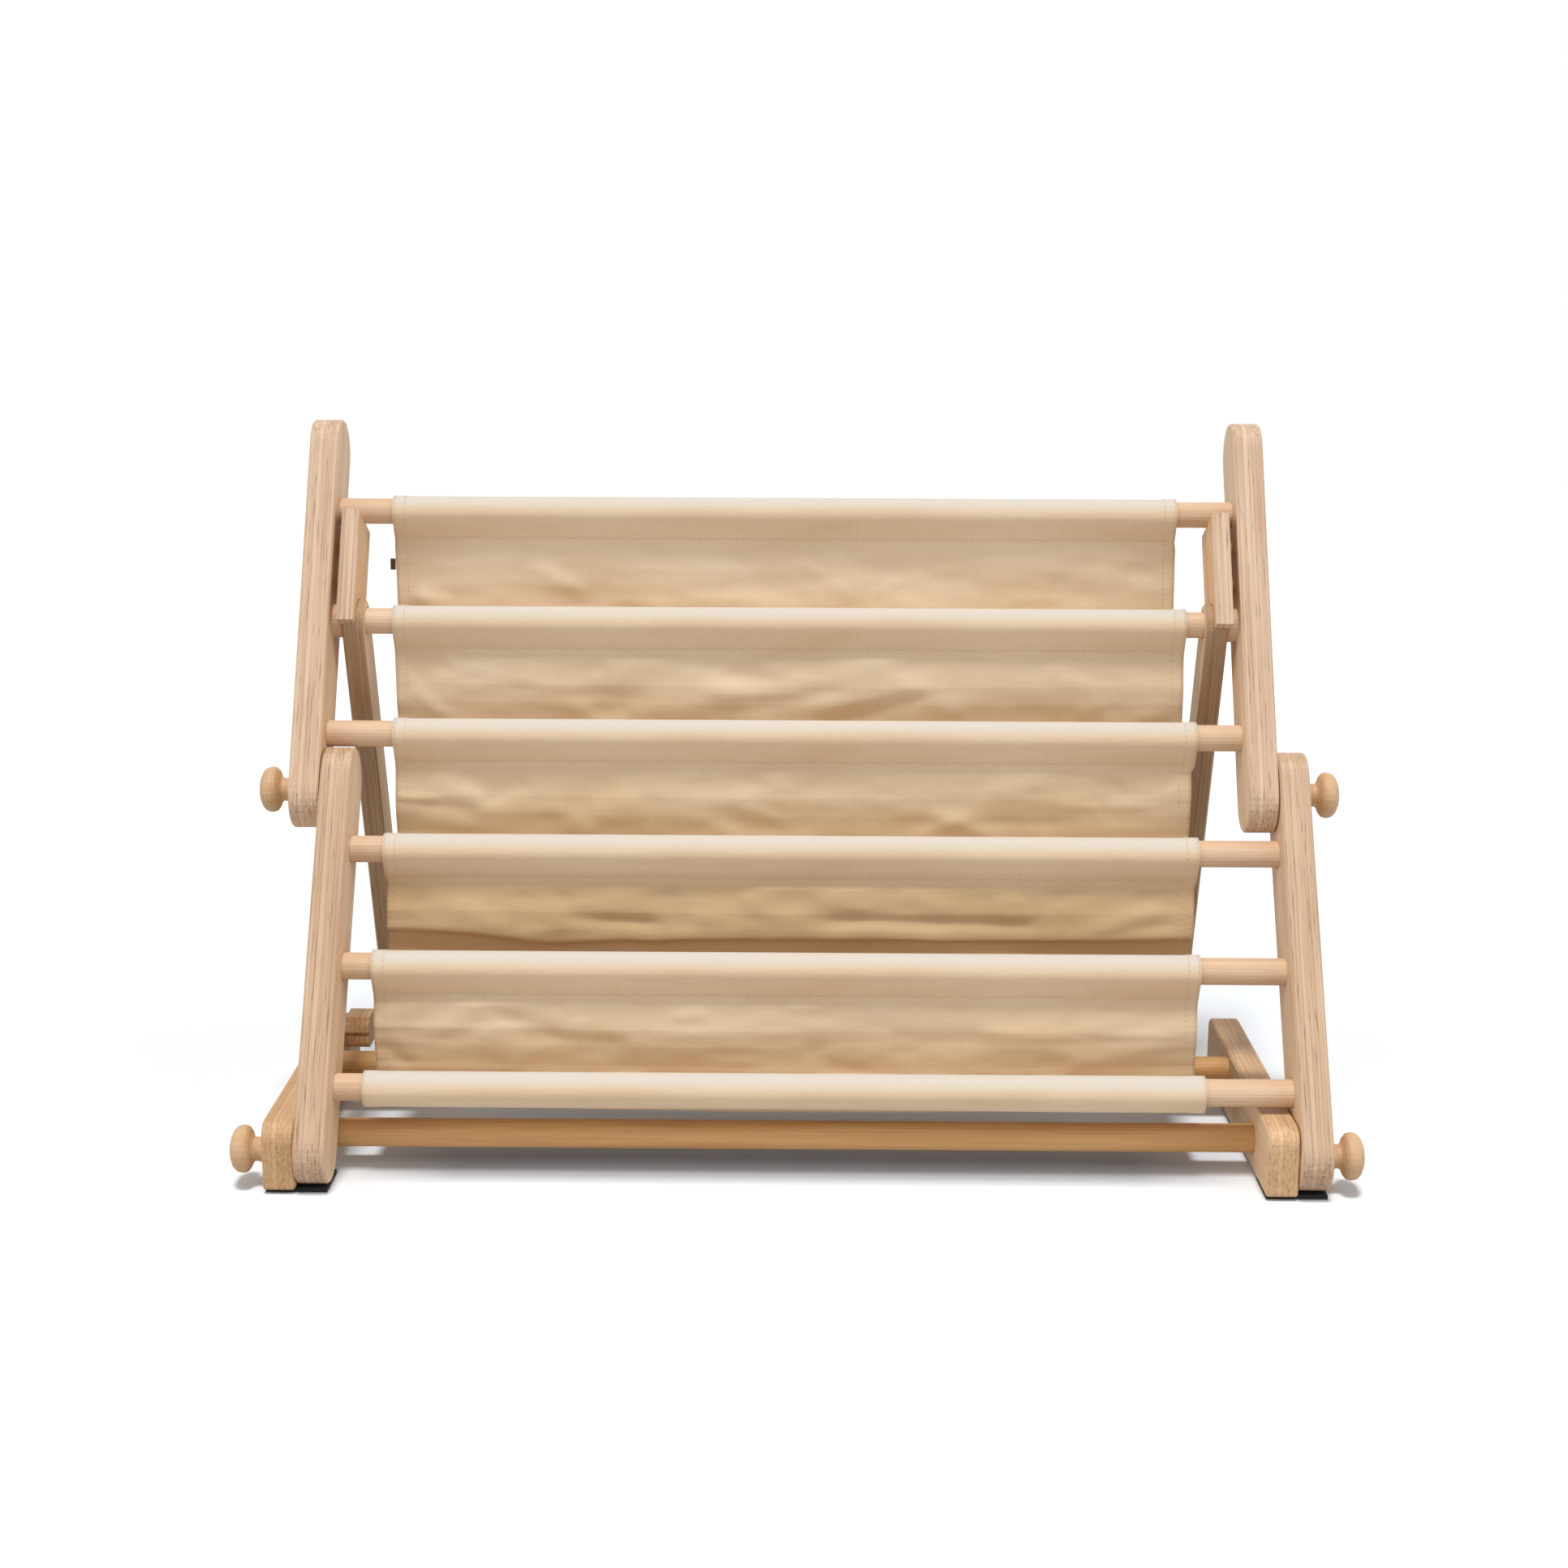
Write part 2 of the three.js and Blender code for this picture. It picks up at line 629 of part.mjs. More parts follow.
// The middle line of a pocket in side view at one place across its width.
function pocketLine(index, across) {
  const upper = rungs[index];
  const lower = rungs[index + 1];
  const top = upper[1] - sleeveOutside - seamDrop - sewnGap;
  const middleShare = 1 - (2 * across - 1) ** 2;
  const front = lower[0] + sleeveOutside + sewnGap + half(fabricThickness);
  const bendRadius = half(upper[0] - front);
  const bendHeight = lower[1] - pocketDrop - pocketSag * middleShare + bendRadius;
  let fold = 0;
  for (const [place, width, depth] of foldShares[index]) {
    fold += depth * bump(across - place, width);
  }
  const [levelPlace, levelDepth] = levelFoldShares[index];
  const line = [];
  for (let i = 0; i <= clothRows; i += 1) {
    const share = i / clothRows;
    const swell = Math.sin(Math.PI * share) * fold;
    const level = levelDepth * bump(share - levelPlace, 2 / clothRows);
    line.push([upper[0] + foldDepth * half(swell - level), top + (bendHeight - top) * share]);
  }
  for (let i = 1; i <= clothBend; i += 1) {
    const turn = (Math.PI * i) / clothBend;
    const y = half(upper[0] + front) + bendRadius * Math.cos(turn);
    line.push([y, bendHeight - bendRadius * Math.sin(turn)]);
  }
  line.push([front, half(bendHeight + lower[1])]);
  line.push([front, lower[1]]);
  return line;
}

// A closed sheet of cloth round a family of side-view lines, one per column; the slip runs from the
// first row's to the last row's.
function clothSolid(lineAt, firstSlip, lastSlip) {
  const corners = [];
  const rowCount = lineAt(0).length;
  for (let column = 0; column <= clothColumns; column += 1) {
    const across = column / clothColumns;
    const line = lineAt(across);
    for (const side of [1, -1]) {
      for (let row = 0; row < rowCount; row += 1) {
        const slip = firstSlip + ((lastSlip - firstSlip) * row) / (rowCount - 1);
        const x = clothLeft + clothWidth * (across + slip);
        const before = line[Math.max(row - 1, 0)];
        const after = line[Math.min(row + 1, rowCount - 1)];
        const run = [after[0] - before[0], after[1] - before[1]];
        const length = Math.hypot(run[0], run[1]);
        const offset = (side * half(fabricThickness)) / length;
        corners.push(x, line[row][0] + run[1] * offset, line[row][1] - run[0] * offset);
      }
    }
  }
  const faces = [];
  const corner = (column, side, row) => (column * 2 + side) * rowCount + row;
  const quad = (a, b, c, d) => faces.push(a, c, b, a, d, c);
  for (let column = 0; column < clothColumns; column += 1) {
    for (let row = 0; row < rowCount - 1; row += 1) {
      const next = row + 1;
      const right = column + 1;
      quad(corner(column, 0, row), corner(right, 0, row), corner(right, 0, next), corner(column, 0, next));
      quad(corner(column, 1, row), corner(column, 1, next), corner(right, 1, next), corner(right, 1, row));
    }
    for (const row of [0, rowCount - 1]) {
      const ends = [corner(column, 0, row), corner(column, 1, row)];
      const others = [corner(column + 1, 0, row), corner(column + 1, 1, row)];
      if (row === 0) quad(ends[0], ends[1], others[1], others[0]);
      else quad(ends[0], others[0], others[1], ends[1]);
    }
  }
  for (let row = 0; row < rowCount - 1; row += 1) {
    for (const column of [0, clothColumns]) {
      const here = [corner(column, 0, row), corner(column, 1, row)];
      const next = [corner(column, 0, row + 1), corner(column, 1, row + 1)];
      if (column === 0) quad(here[0], next[0], next[1], here[1]);
      else quad(here[0], here[1], next[1], next[0]);
    }
  }
  const geometry = new THREE.BufferGeometry();
  geometry.setAttribute("position", new THREE.BufferAttribute(new Float32Array(corners), 3));
  geometry.setIndex(faces);
  return solidFrom(geometry);
}

for (const index of rungs.keys()) addPiece("sleeve_" + (index + 1), sleeve(index), canvas);
for (const index of foldShares.keys()) {
  const slips = [slipShares[index], slipShares[index + 1]];
  addPiece("pocket_" + (index + 1), clothSolid((across) => pocketLine(index, across), ...slips), canvas);
}

// A small blank tape tag sewn to the left edge of the top pocket.
function tag() {
  const top = rungs[0][1] - sleeveOutside - seamDrop - tagDrop;
  const shape = polygonShape([
    [rungs[0][0] - half(tagThickness), top - tagLength],
    [rungs[0][0] + half(tagThickness), top - tagLength],
    [rungs[0][0] + half(tagThickness), top],
    [rungs[0][0] - half(tagThickness), top],
  ]);
  const edge = clothLeft + slipShares[0] * clothWidth - sewnGap;
  return board(shape, edge - tagWidth, edge, 0);
}

addPiece("seam_tag", tag(), tape);

// The origin goes under the middle of the whole shelf, on the floor.
const bounds = new THREE.Box3().setFromObject(group);
const middle = bounds.getCenter(new THREE.Vector3());
for (const mesh of group.children) mesh.geometry.translate(-middle.x, -middle.y, 0);

export default group;
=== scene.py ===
import math

import bpy
import numpy as np
from mathutils import Matrix, Vector


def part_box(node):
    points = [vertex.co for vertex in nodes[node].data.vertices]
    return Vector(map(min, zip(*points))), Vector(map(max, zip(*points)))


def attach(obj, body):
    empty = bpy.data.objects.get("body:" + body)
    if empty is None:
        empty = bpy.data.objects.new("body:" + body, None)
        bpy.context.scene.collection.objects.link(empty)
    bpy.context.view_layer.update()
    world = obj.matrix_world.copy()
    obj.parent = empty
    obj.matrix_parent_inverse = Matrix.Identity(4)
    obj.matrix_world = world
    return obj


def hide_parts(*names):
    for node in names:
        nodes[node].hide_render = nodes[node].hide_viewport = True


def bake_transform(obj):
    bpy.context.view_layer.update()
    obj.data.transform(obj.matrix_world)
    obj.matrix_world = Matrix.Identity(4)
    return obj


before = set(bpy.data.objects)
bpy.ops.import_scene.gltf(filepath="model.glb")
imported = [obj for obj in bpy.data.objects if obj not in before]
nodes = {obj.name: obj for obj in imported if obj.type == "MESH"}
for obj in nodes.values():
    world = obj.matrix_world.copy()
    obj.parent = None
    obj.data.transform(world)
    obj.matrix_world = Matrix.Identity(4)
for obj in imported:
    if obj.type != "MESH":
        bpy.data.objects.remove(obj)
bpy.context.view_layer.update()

mm = 0.001


# A colour given in display values from 0 to 255, as the shader wants it.
def srgb(red, green, blue):
    made = []
    for value in (red, green, blue):
        share = value / 255
        made.append(share / 12.92 if share <= 0.04045 else ((share + 0.055) / 1.055) ** 2.4)
    return (*made, 1.0)


def mixPlain(first, second, share):
    return tuple(a + (b - a) * share for a, b in zip(first, second))


def shaded(colour, share):
    return (*(value * share for value in colour[:3]), 1.0)


# Small tools for node trees.


# Links each socket and sets each plain value that is given for a node's inputs.
def feed(tree, node, sockets):
    for key, value in sockets.items():
        if isinstance(value, bpy.types.NodeSocket):
            tree.links.new(value, node.inputs[key])
        else:
            node.inputs[key].default_value = value
    return node


def addNode(tree, kind, sockets=None, **settings):
    node = tree.nodes.new(kind)
    for key, value in settings.items():
        setattr(node, key, value)
    return feed(tree, node, sockets or {})


def calc(tree, operation, first, second=0.0, third=0.0, clamp=False):
    sockets = {0: first, 1: second, 2: third}
    return addNode(tree, "ShaderNodeMath", sockets, operation=operation, use_clamp=clamp).outputs[0]


def mixColours(tree, factor, first, second, blend="MIX"):
    sockets = {0: factor, 6: first, 7: second}
    return addNode(tree, "ShaderNodeMix", sockets, data_type="RGBA", blend_type=blend).outputs[2]


def remap(tree, value, low, high, newLow=0.0, newHigh=1.0):
    sockets = {0: value, 1: low, 2: high, 3: newLow, 4: newHigh}
    return addNode(tree, "ShaderNodeMapRange", sockets).outputs[0]


# The scale is one number, or one for each axis.
def noise(tree, vector, scale, detail, roughness):
    if isinstance(scale, tuple):
        vector = addNode(tree, "ShaderNodeMapping", {"Vector": vector, "Scale": scale}).outputs[0]
        scale = 1.0
    sockets = {"Vector": vector, "Scale": scale, "Detail": detail, "Roughness": roughness}
    return addNode(tree, "ShaderNodeTexNoise", sockets).outputs[0]


# Coordinates turned to a piece's grain, and shifted by its seed so that no two pieces look alike.
def grainPlace(tree, place, rotation, seed, shift):
    location = tuple(seed * share for share in shift)
    sockets = {"Vector": place, "Location": location, "Rotation": rotation}
    return addNode(tree, "ShaderNodeMapping", sockets).outputs[0]


def startGroup(name, inputs, outputs, kind="ShaderNodeTree"):
    group = bpy.data.node_groups.new(name, kind)
    add = group.interface.new_socket
    for socketName, kind, value in inputs:
        socket = add(socketName, in_out="INPUT", socket_type="NodeSocket" + kind)
        if value is not None:
            socket.default_value = value
    for socketName, kind in outputs:
        add(socketName, in_out="OUTPUT", socket_type="NodeSocket" + kind)
    return group, group.nodes.new("NodeGroupInput"), group.nodes.new("NodeGroupOutput")


def useGroup(tree, group, sockets):
    return addNode(tree, "ShaderNodeGroup", sockets, node_tree=group)


def startMaterial(name, roughness, metallic=0.0, specular=0.4):
    material = bpy.data.materials.new(name)
    material.use_nodes = True
    tree = material.node_tree
    shader = tree.nodes["Principled BSDF"]
    finish = {"Roughness": roughness, "Metallic": metallic, "Specular IOR Level": specular}
    return material, tree, feed(tree, shader, finish)


def bumpInto(tree, shader, height, distance, strength=1.0):
    sockets = {"Height": height, "Distance": distance, "Strength": strength}
    feed(tree, shader, {"Normal": addNode(tree, "ShaderNodeBump", sockets).outputs[0]})


# Wood: long grain for the faces and rods, and stacked layers for the boards' edges.

woodLooks = {
    "light": srgb(240, 214, 184),
    "dark": srgb(214, 176, 138),
    "warmLight": srgb(238, 198, 148),
    "warmDark": srgb(212, 164, 112),
    "fleck": srgb(150, 104, 68),
    "fleckShare": 0.35,
    "fleckDent": 0.5,
    "grainWidth": 4.5 * mm,
    "grainLength": 160 * mm,
    # Noises: waves in a grain's width, waves in its length, detail and roughness.
    "broad": (0.3, 0.6, 3.0, 0.55),
    "fine": (2.2, 2.0, 4.0, 0.6),
    "streak": (5.0, 9.0, 2.0, 0.5),
    "broadTone": 0.75,
    "fineTone": 0.55,
    "toneRange": (0.42, 0.9),
    "fleckRange": (0.66, 0.78),
    "fineToRoughness": (0.3, 0.7, 0.5, 0.62),
    "bump": 0.06 * mm,
}


def makeGrainGroup():
    inputs = (
        ("Vector", "Vector", None),
        ("Light", "Color", woodLooks["light"]),
        ("Dark", "Color", woodLooks["dark"]),
        ("Fleck", "Color", woodLooks["fleck"]),
        ("Fleck Share", "Float", woodLooks["fleckShare"]),
    )
    outputs = (
        ("Color", "Color"),
        ("Roughness", "Float"),
        ("Height", "Float"),
    )
    group, given, result = startGroup("LongGrain", inputs, outputs)
    width, length = woodLooks["grainWidth"], woodLooks["grainLength"]
    # The grain runs along the vector's Z.
    made = []
    for pattern in ("broad", "fine", "streak"):
        across, along, detail, roughness = woodLooks[pattern]
        scale = (across / width, across / width, along / length)
        made.append(noise(group, given.outputs["Vector"], scale, detail, roughness))
    broad, fine, streak = made
    tone = calc(group, "MULTIPLY", broad, woodLooks["broadTone"])
    tone = calc(group, "MULTIPLY_ADD", fine, woodLooks["fineTone"], tone)
    tone = remap(group, tone, *woodLooks["toneRange"])
    colour = mixColours(group, tone, given.outputs["Light"], given.outputs["Dark"])
    flecks = remap(group, streak, *woodLooks["fleckRange"])
    flecks = calc(group, "MULTIPLY", flecks, given.outputs["Fleck Share"])
    dents = calc(group, "MULTIPLY", flecks, woodLooks["fleckDent"])
    sockets = {
        "Color": mixColours(group, flecks, colour, given.outputs["Fleck"]),
        "Roughness": remap(group, fine, *woodLooks["fineToRoughness"]),
        "Height": calc(group, "SUBTRACT", fine, dents),
    }
    feed(group, result, sockets)
    return group


plyLooks = {
    "light": srgb(222, 194, 165),
    "dark": srgb(186, 149, 122),
    "warmLight": srgb(218, 178, 130),
    "warmDark": srgb(182, 137, 91),
    "fleck": srgb(104, 72, 50),
    "fleckShare": 0.7,
    "warmFleckLoss": 0.6,  # how much of it a fully golden edge loses
    "veneer": 1.64 * mm,
    "stopPlate": 10.8 * mm,  # the stop plates' own thickness, without their pegs
    "line": srgb(142, 104, 78),  # the glue line between two layers
    "lineWidth": 0.16,  # in layers
    "lineShare": 0.42,
    "lineDent": 0.6,
    # Noises: waves per metre along X, Y and Z, detail and roughness.
    "waver": ((0.0, 0.0, 18.0), 3.0, 0.6),
    "streaks": ((620.0, 300.0, 8.0), 3.0, 0.62),
    "pores": ((900.0, 700.0, 45.0), 2.0, 0.5),
    "blotch": ((60.0, 40.0, 14.0), 2.0, 0.5),
    "waverDepth": 0.02,
    "uneven": (23.0, 0.33),  # how fast and how far the layers drift from even ones
    "longGrainTone": 0.08,
    "endGrainTone": 0.2,
    "layerTone": 0.14,
    "streaksToTone": (0.3, 0.72, -0.2, 0.6),
    "blotchTone": 0.8,
    "poreRange": (0.57, 0.7),
    "porePerLayer": (0.7, 0.3),  # more in end grain, and what every layer has
    "faceRange": (0.72, 0.86),  # how far a face looks along X, from edge to face
    "seedShift": (1.0, 0.7, 1.3),
}


def makePlyGroup():
    inputs = (
        ("Vector", "Vector", None),
        ("Depth", "Float", None),
        ("Layers", "Float", None),
        ("Fleck Share", "Float", plyLooks["fleckShare"]),
        ("Light", "Color", plyLooks["light"]),
        ("Dark", "Color", plyLooks["dark"]),
    )
    outputs = (("Color", "Color"), ("Height", "Float"))
    group, given, result = startGroup("PlyEdge", inputs, outputs)
    made = []
    for pattern in ("waver", "streaks", "pores", "blotch"):
        made.append(noise(group, given.outputs["Vector"], *plyLooks[pattern]))
    waver, streaks, pores, blotch = made
    # Depth is 0 on one face of the board and 1 on the other; the layers aren't quite even.
    depth = calc(group, "MULTIPLY_ADD", waver, plyLooks["waverDepth"], given.outputs["Depth"])
    rate, swing = plyLooks["uneven"]
    drift = calc(group, "SINE", calc(group, "MULTIPLY", depth, rate))
    drift = calc(group, "MULTIPLY", drift, swing)
    stack = calc(group, "MULTIPLY_ADD", depth, given.outputs["Layers"], drift)
    within = calc(group, "FRACT", stack)
    layer = calc(group, "FLOOR", stack)
    ownTone = addNode(group, "ShaderNodeTexWhiteNoise", {"W": layer}, noise_dimensions="1D")
    nearLine = calc(group, "MINIMUM", within, calc(group, "SUBTRACT", 1.0, within))
    line = remap(group, nearLine, 0.0, plyLooks["lineWidth"], plyLooks["lineShare"], 0.0)
    # Every second layer shows end grain, which is darker.
    odd = calc(group, "MODULO", layer, 2.0)
    tone = calc(group, "MULTIPLY_ADD", odd, plyLooks["endGrainTone"], plyLooks["longGrainTone"])
    tone = calc(group, "MULTIPLY_ADD", ownTone.outputs["Value"], plyLooks["layerTone"], tone)
    tone = calc(group, "ADD", tone, remap(group, streaks, *plyLooks["streaksToTone"]))
    blotch = calc(group, "SUBTRACT", blotch, 0.5)
    tone = calc(group, "MULTIPLY_ADD", blotch, plyLooks["blotchTone"], tone, clamp=True)
    colour = mixColours(group, tone, given.outputs["Light"], given.outputs["Dark"])
    colour = mixColours(group, line, colour, plyLooks["line"])
    flecks = remap(group, pores, *plyLooks["poreRange"])
    flecks = calc(group, "MULTIPLY", flecks, given.outputs["Fleck Share"])
    perLayer = calc(group, "MULTIPLY_ADD", odd, *plyLooks["porePerLayer"])
    flecks = calc(group, "MULTIPLY", flecks, perLayer)
    dents = calc(group, "MULTIPLY", line, plyLooks["lineDent"])
    sockets = {
        "Color": mixColours(group, flecks, colour, plyLooks["fleck"]),
        "Height": calc(group, "SUBTRACT", streaks, dents),
    }
    feed(group, result, sockets)
    return group


grainGroup = makeGrainGroup()
plyGroup = makePlyGroup()


# Plywood whose faces look along X, from start to start + thickness.
def plywoodMaterial(name, board, start, thickness):
    material, tree, shader = startMaterial(name, roughness=0.58)
    lean, seed, warmth, edgeWarmth, edgeLightShade = board
    where = addNode(tree, "ShaderNodeTexCoord")
    place = where.outputs["Object"]
    rotation = (math.radians(lean), 0, 0)
    turned = grainPlace(tree, place, rotation, seed, plyLooks["seedShift"])
    sockets = {
        "Vector": turned,
        "Light": mixPlain(woodLooks["light"], woodLooks["warmLight"], warmth),
        "Dark": mixPlain(woodLooks["dark"], woodLooks["warmDark"], warmth),
    }
    face = useGroup(tree, grainGroup, sockets)

    # An odd count of layers, so that both faces have long grain.
    layers = round(thickness / plyLooks["veneer"])
    layers += 1 - layers % 2
    across = addNode(tree, "ShaderNodeSeparateXYZ", {0: place}).outputs[0]
    light = mixPlain(plyLooks["light"], plyLooks["warmLight"], edgeWarmth)
    dark = mixPlain(plyLooks["dark"], plyLooks["warmDark"], edgeWarmth)
    # The edges' colours are multiplied by the board's last number: painted shade on the struts and
    # painted light on the notched block.
    sockets = {
        "Vector": turned,
        "Depth": calc(tree, "DIVIDE", calc(tree, "SUBTRACT", across, start), thickness),
        "Layers": float(layers),
        "Fleck Share": plyLooks["fleckShare"] * (1 - plyLooks["warmFleckLoss"] * edgeWarmth),
        "Light": shaded(light, edgeLightShade),
        "Dark": shaded(dark, edgeLightShade),
    }
    edge = useGroup(tree, plyGroup, sockets)

    facing = addNode(tree, "ShaderNodeSeparateXYZ", {0: where.outputs["Normal"]}).outputs[0]
    isFace = remap(tree, calc(tree, "ABSOLUTE", facing), *plyLooks["faceRange"])
    isEdge = calc(tree, "SUBTRACT", 1.0, isFace)
    colour = mixColours(tree, isFace, edge.outputs["Color"], face.outputs["Color"])
    feed(tree, shader, {"Base Color": colour, "Roughness": face.outputs["Roughness"]})
    faceHeight = calc(tree, "MULTIPLY", face.outputs["Height"], isFace)
    edgeHeight = calc(tree, "MULTIPLY", edge.outputs["Height"], isEdge)
    bumpInto(tree, shader, calc(tree, "ADD", faceHeight, edgeHeight), woodLooks["bump"])
    return material


def turnedMaterial(name, look, seed):
    material, tree, shader = startMaterial(name, roughness=0.5)
    place = addNode(tree, "ShaderNodeTexCoord").outputs["Object"]
    sockets = {
        "Vector": grainPlace(tree, place, look["rotation"], seed, look["seedShift"]),
        "Light": look["light"],
        "Dark": look["dark"],
        "Fleck Share": look["fleckShare"],
    }
    grain = useGroup(tree, grainGroup, sockets)
    sockets = {"Base Color": grain.outputs["Color"], "Roughness": grain.outputs["Roughness"]}
    feed(tree, shader, sockets)
    bumpInto(tree, shader, grain.outputs["Height"], woodLooks["bump"])
    return material


# Canvas, from a UV map in metres: across the sheet, and along it from the seam behind its rung.

canvasLooks = {
    "light": srgb(235, 211, 180),
    "dark": srgb(213, 181, 142),
    # The painted highlight on the sleeves' tops.
    "topHighlight": srgb(213, 202, 188),
    "sheetStart": (58 * mm, 74 * mm),  # the sleeve ends and the hanging sheet begins in between
    "roughness": 0.92,
    "specular": 0.15,
    "fuzz": (0.3, 0.5),  # weight and roughness of the sheen
    "thread": 0.7 * mm,
    "weaveShare": 0.3,
    "weaveBump": 0.06 * mm,
    "bumpStrength": 0.8,
    # Noises: waves per metre, detail and roughness.
    "wobble": (90.0, 2.0, 0.5),
    "slubsAcross": ((26.0, 1500.0, 1.0), 2.0, 0.6),
    "slubsAlong": ((1500.0, 26.0, 1.0), 2.0, 0.6),
    "blotch": ((9.0, 26.0, 1.0), 3.0, 0.55),
    "wobbleShare": 1.4,  # in threads
    "threadHeight": 0.5,
    "slubHeight": 1.2,
    "threadMask": 0.12,
    "slubRange": (0.35, 0.8),
    "blotchRange": (0.3, 0.7),
    "blotchShare": 0.55,
    "topRange": (0.15, 0.75),  # how far a face looks up, from the cloth's own colour to its painted highlight
}


def makeWeaveGroup():
    inputs = (
        ("Vector", "Vector", None),
        ("Thread", "Float", canvasLooks["thread"]),
    )
    outputs = (("Mask", "Float"), ("Height", "Float"))
    group, given, result = startGroup("PlainWeave", inputs, outputs)
    vector = given.outputs["Vector"]
    parts = addNode(group, "ShaderNodeSeparateXYZ", {0: vector})
    wobble = noise(group, vector, *canvasLooks["wobble"])
    waves = []
    for axis in (0, 1):
        place = calc(group, "DIVIDE", parts.outputs[axis], given.outputs["Thread"])
        place = calc(group, "MULTIPLY_ADD", wobble, canvasLooks["wobbleShare"], place)
        waves.append(calc(group, "SINE", calc(group, "MULTIPLY", place, math.pi)))
    over = calc(group, "MULTIPLY", *waves)
    slubs = [noise(group, vector, *canvasLooks[name]) for name in ("slubsAcross", "slubsAlong")]
    slub = calc(group, "MAXIMUM", *slubs)
    height = calc(group, "MULTIPLY", over, canvasLooks["threadHeight"])
    height = calc(group, "MULTIPLY_ADD", slub, canvasLooks["slubHeight"], height)
    mask = remap(group, slub, *canvasLooks["slubRange"])
    mask = calc(group, "MULTIPLY_ADD", over, canvasLooks["threadMask"], mask, clamp=True)
    feed(group, result, {"Mask": mask, "Height": height})
    return group


weaveGroup = makeWeaveGroup()


# The tone multiplies the colour of the hanging sheet as painted shade, and as painted light where
# it is above 1; the sleeve is the sheet's first part.
def canvasMaterial(name, tone):
    roughness, specular = canvasLooks["roughness"], canvasLooks["specular"]
    material, tree, shader = startMaterial(name, roughness, specular=specular)
    weight, fuzzRoughness = canvasLooks["fuzz"]
    feed(tree, shader, {"Sheen Weight": weight, "Sheen Roughness": fuzzRoughness})
    where = addNode(tree, "ShaderNodeTexCoord")
    weave = useGroup(tree, weaveGroup, {"Vector": where.outputs["UV"]})
    blotch = noise(tree, where.outputs["UV"], *canvasLooks["blotch"])
    blotch = remap(tree, blotch, *canvasLooks["blotchRange"])
    shade = calc(tree, "MULTIPLY", weave.outputs["Mask"], canvasLooks["weaveShare"])
    shade = calc(tree, "MULTIPLY_ADD", blotch, canvasLooks["blotchShare"], shade)
    colour = mixColours(tree, shade, canvasLooks["light"], canvasLooks["dark"])
    along = addNode(tree, "ShaderNodeSeparateXYZ", {0: where.outputs["UV"]}).outputs[1]
    hanging = remap(tree, along, *canvasLooks["sheetStart"])
    # Cloth over the top of a rung gets a painted highlight: it turns paler the more it faces up.
    upward = addNode(tree, "ShaderNodeSeparateXYZ", {0: where.outputs["Normal"]}).outputs[2]
    onTop = remap(tree, upward, *canvasLooks["topRange"])
    highlightShare = calc(tree, "MULTIPLY", onTop, calc(tree, "SUBTRACT", 1.0, hanging))
    colour = mixColours(tree, highlightShare, colour, canvasLooks["topHighlight"])
    # Painted shade on the hanging sheet below its sleeve, and painted light where the tone is above
    # 1.
    paintedLightAndShade = mixColours(tree, 1.0, colour, (*tone, 1.0), "MULTIPLY")
    feed(tree, shader, {"Base Color": mixColours(tree, hanging, colour, paintedLightAndShade)})
    bump, strength = canvasLooks["weaveBump"], canvasLooks["bumpStrength"]
    bumpInto(tree, shader, weave.outputs["Height"], bump, strength)
    return material


# Plain finishes: colour, roughness, how metallic, a speckle in waves per metre, and its bump.
plainLooks = {
    "Zinc": (srgb(196, 198, 202), 0.32, 1.0, 220.0, 0.03 * mm),
    "Rubber": (srgb(34, 33, 33), 0.8, 0.0, 220.0, 0.03 * mm),
    "Thread": (srgb(222, 200, 168), 0.85, 0.0, 900.0, 0.03 * mm),
    "Tape": (srgb(92, 62, 44), 0.9, 0.0, 1500.0, 0.05 * mm),
}
speckleLooks = {
    "detail": 3.0,
    "roughness": 0.6,
    "darkest": 0.8,
    "range": (0.3, 0.7),
    "spread": 0.06,  # of the finish's roughness, to either side
}


def plainMaterial(name):
    colour, middle, metallic, waves, bump = plainLooks[name]
    spread = speckleLooks["spread"]
    material, tree, shader = startMaterial(name, middle, metallic)
    place = addNode(tree, "ShaderNodeTexCoord").outputs["Object"]
    speckle = noise(tree, place, waves, speckleLooks["detail"], speckleLooks["roughness"])
    sockets = {
        "Base Color": mixColours(tree, speckle, colour, shaded(colour, speckleLooks["darkest"])),
        "Roughness": remap(tree, speckle, *speckleLooks["range"], middle - spread, middle + spread),
    }
    feed(tree, shader, sockets)
    bumpInto(tree, shader, speckle, bump)
    return material


# Gives a CAD node its material and smooth shading up to an angle; its vertices stay as they are.
def dress(name, material, smoothAngle=32):
    obj = nodes[name]
    obj.data.materials.clear()
    obj.data.materials.append(material)
    for polygon in obj.data.polygons:
        polygon.material_index = 0
    if "custom_normal" in obj.data.attributes:
        obj.data.attributes.remove(obj.data.attributes["custom_normal"])
    obj.data.shade_smooth()
    obj.data.set_sharp_from_angle(angle=math.radians(smoothAngle))


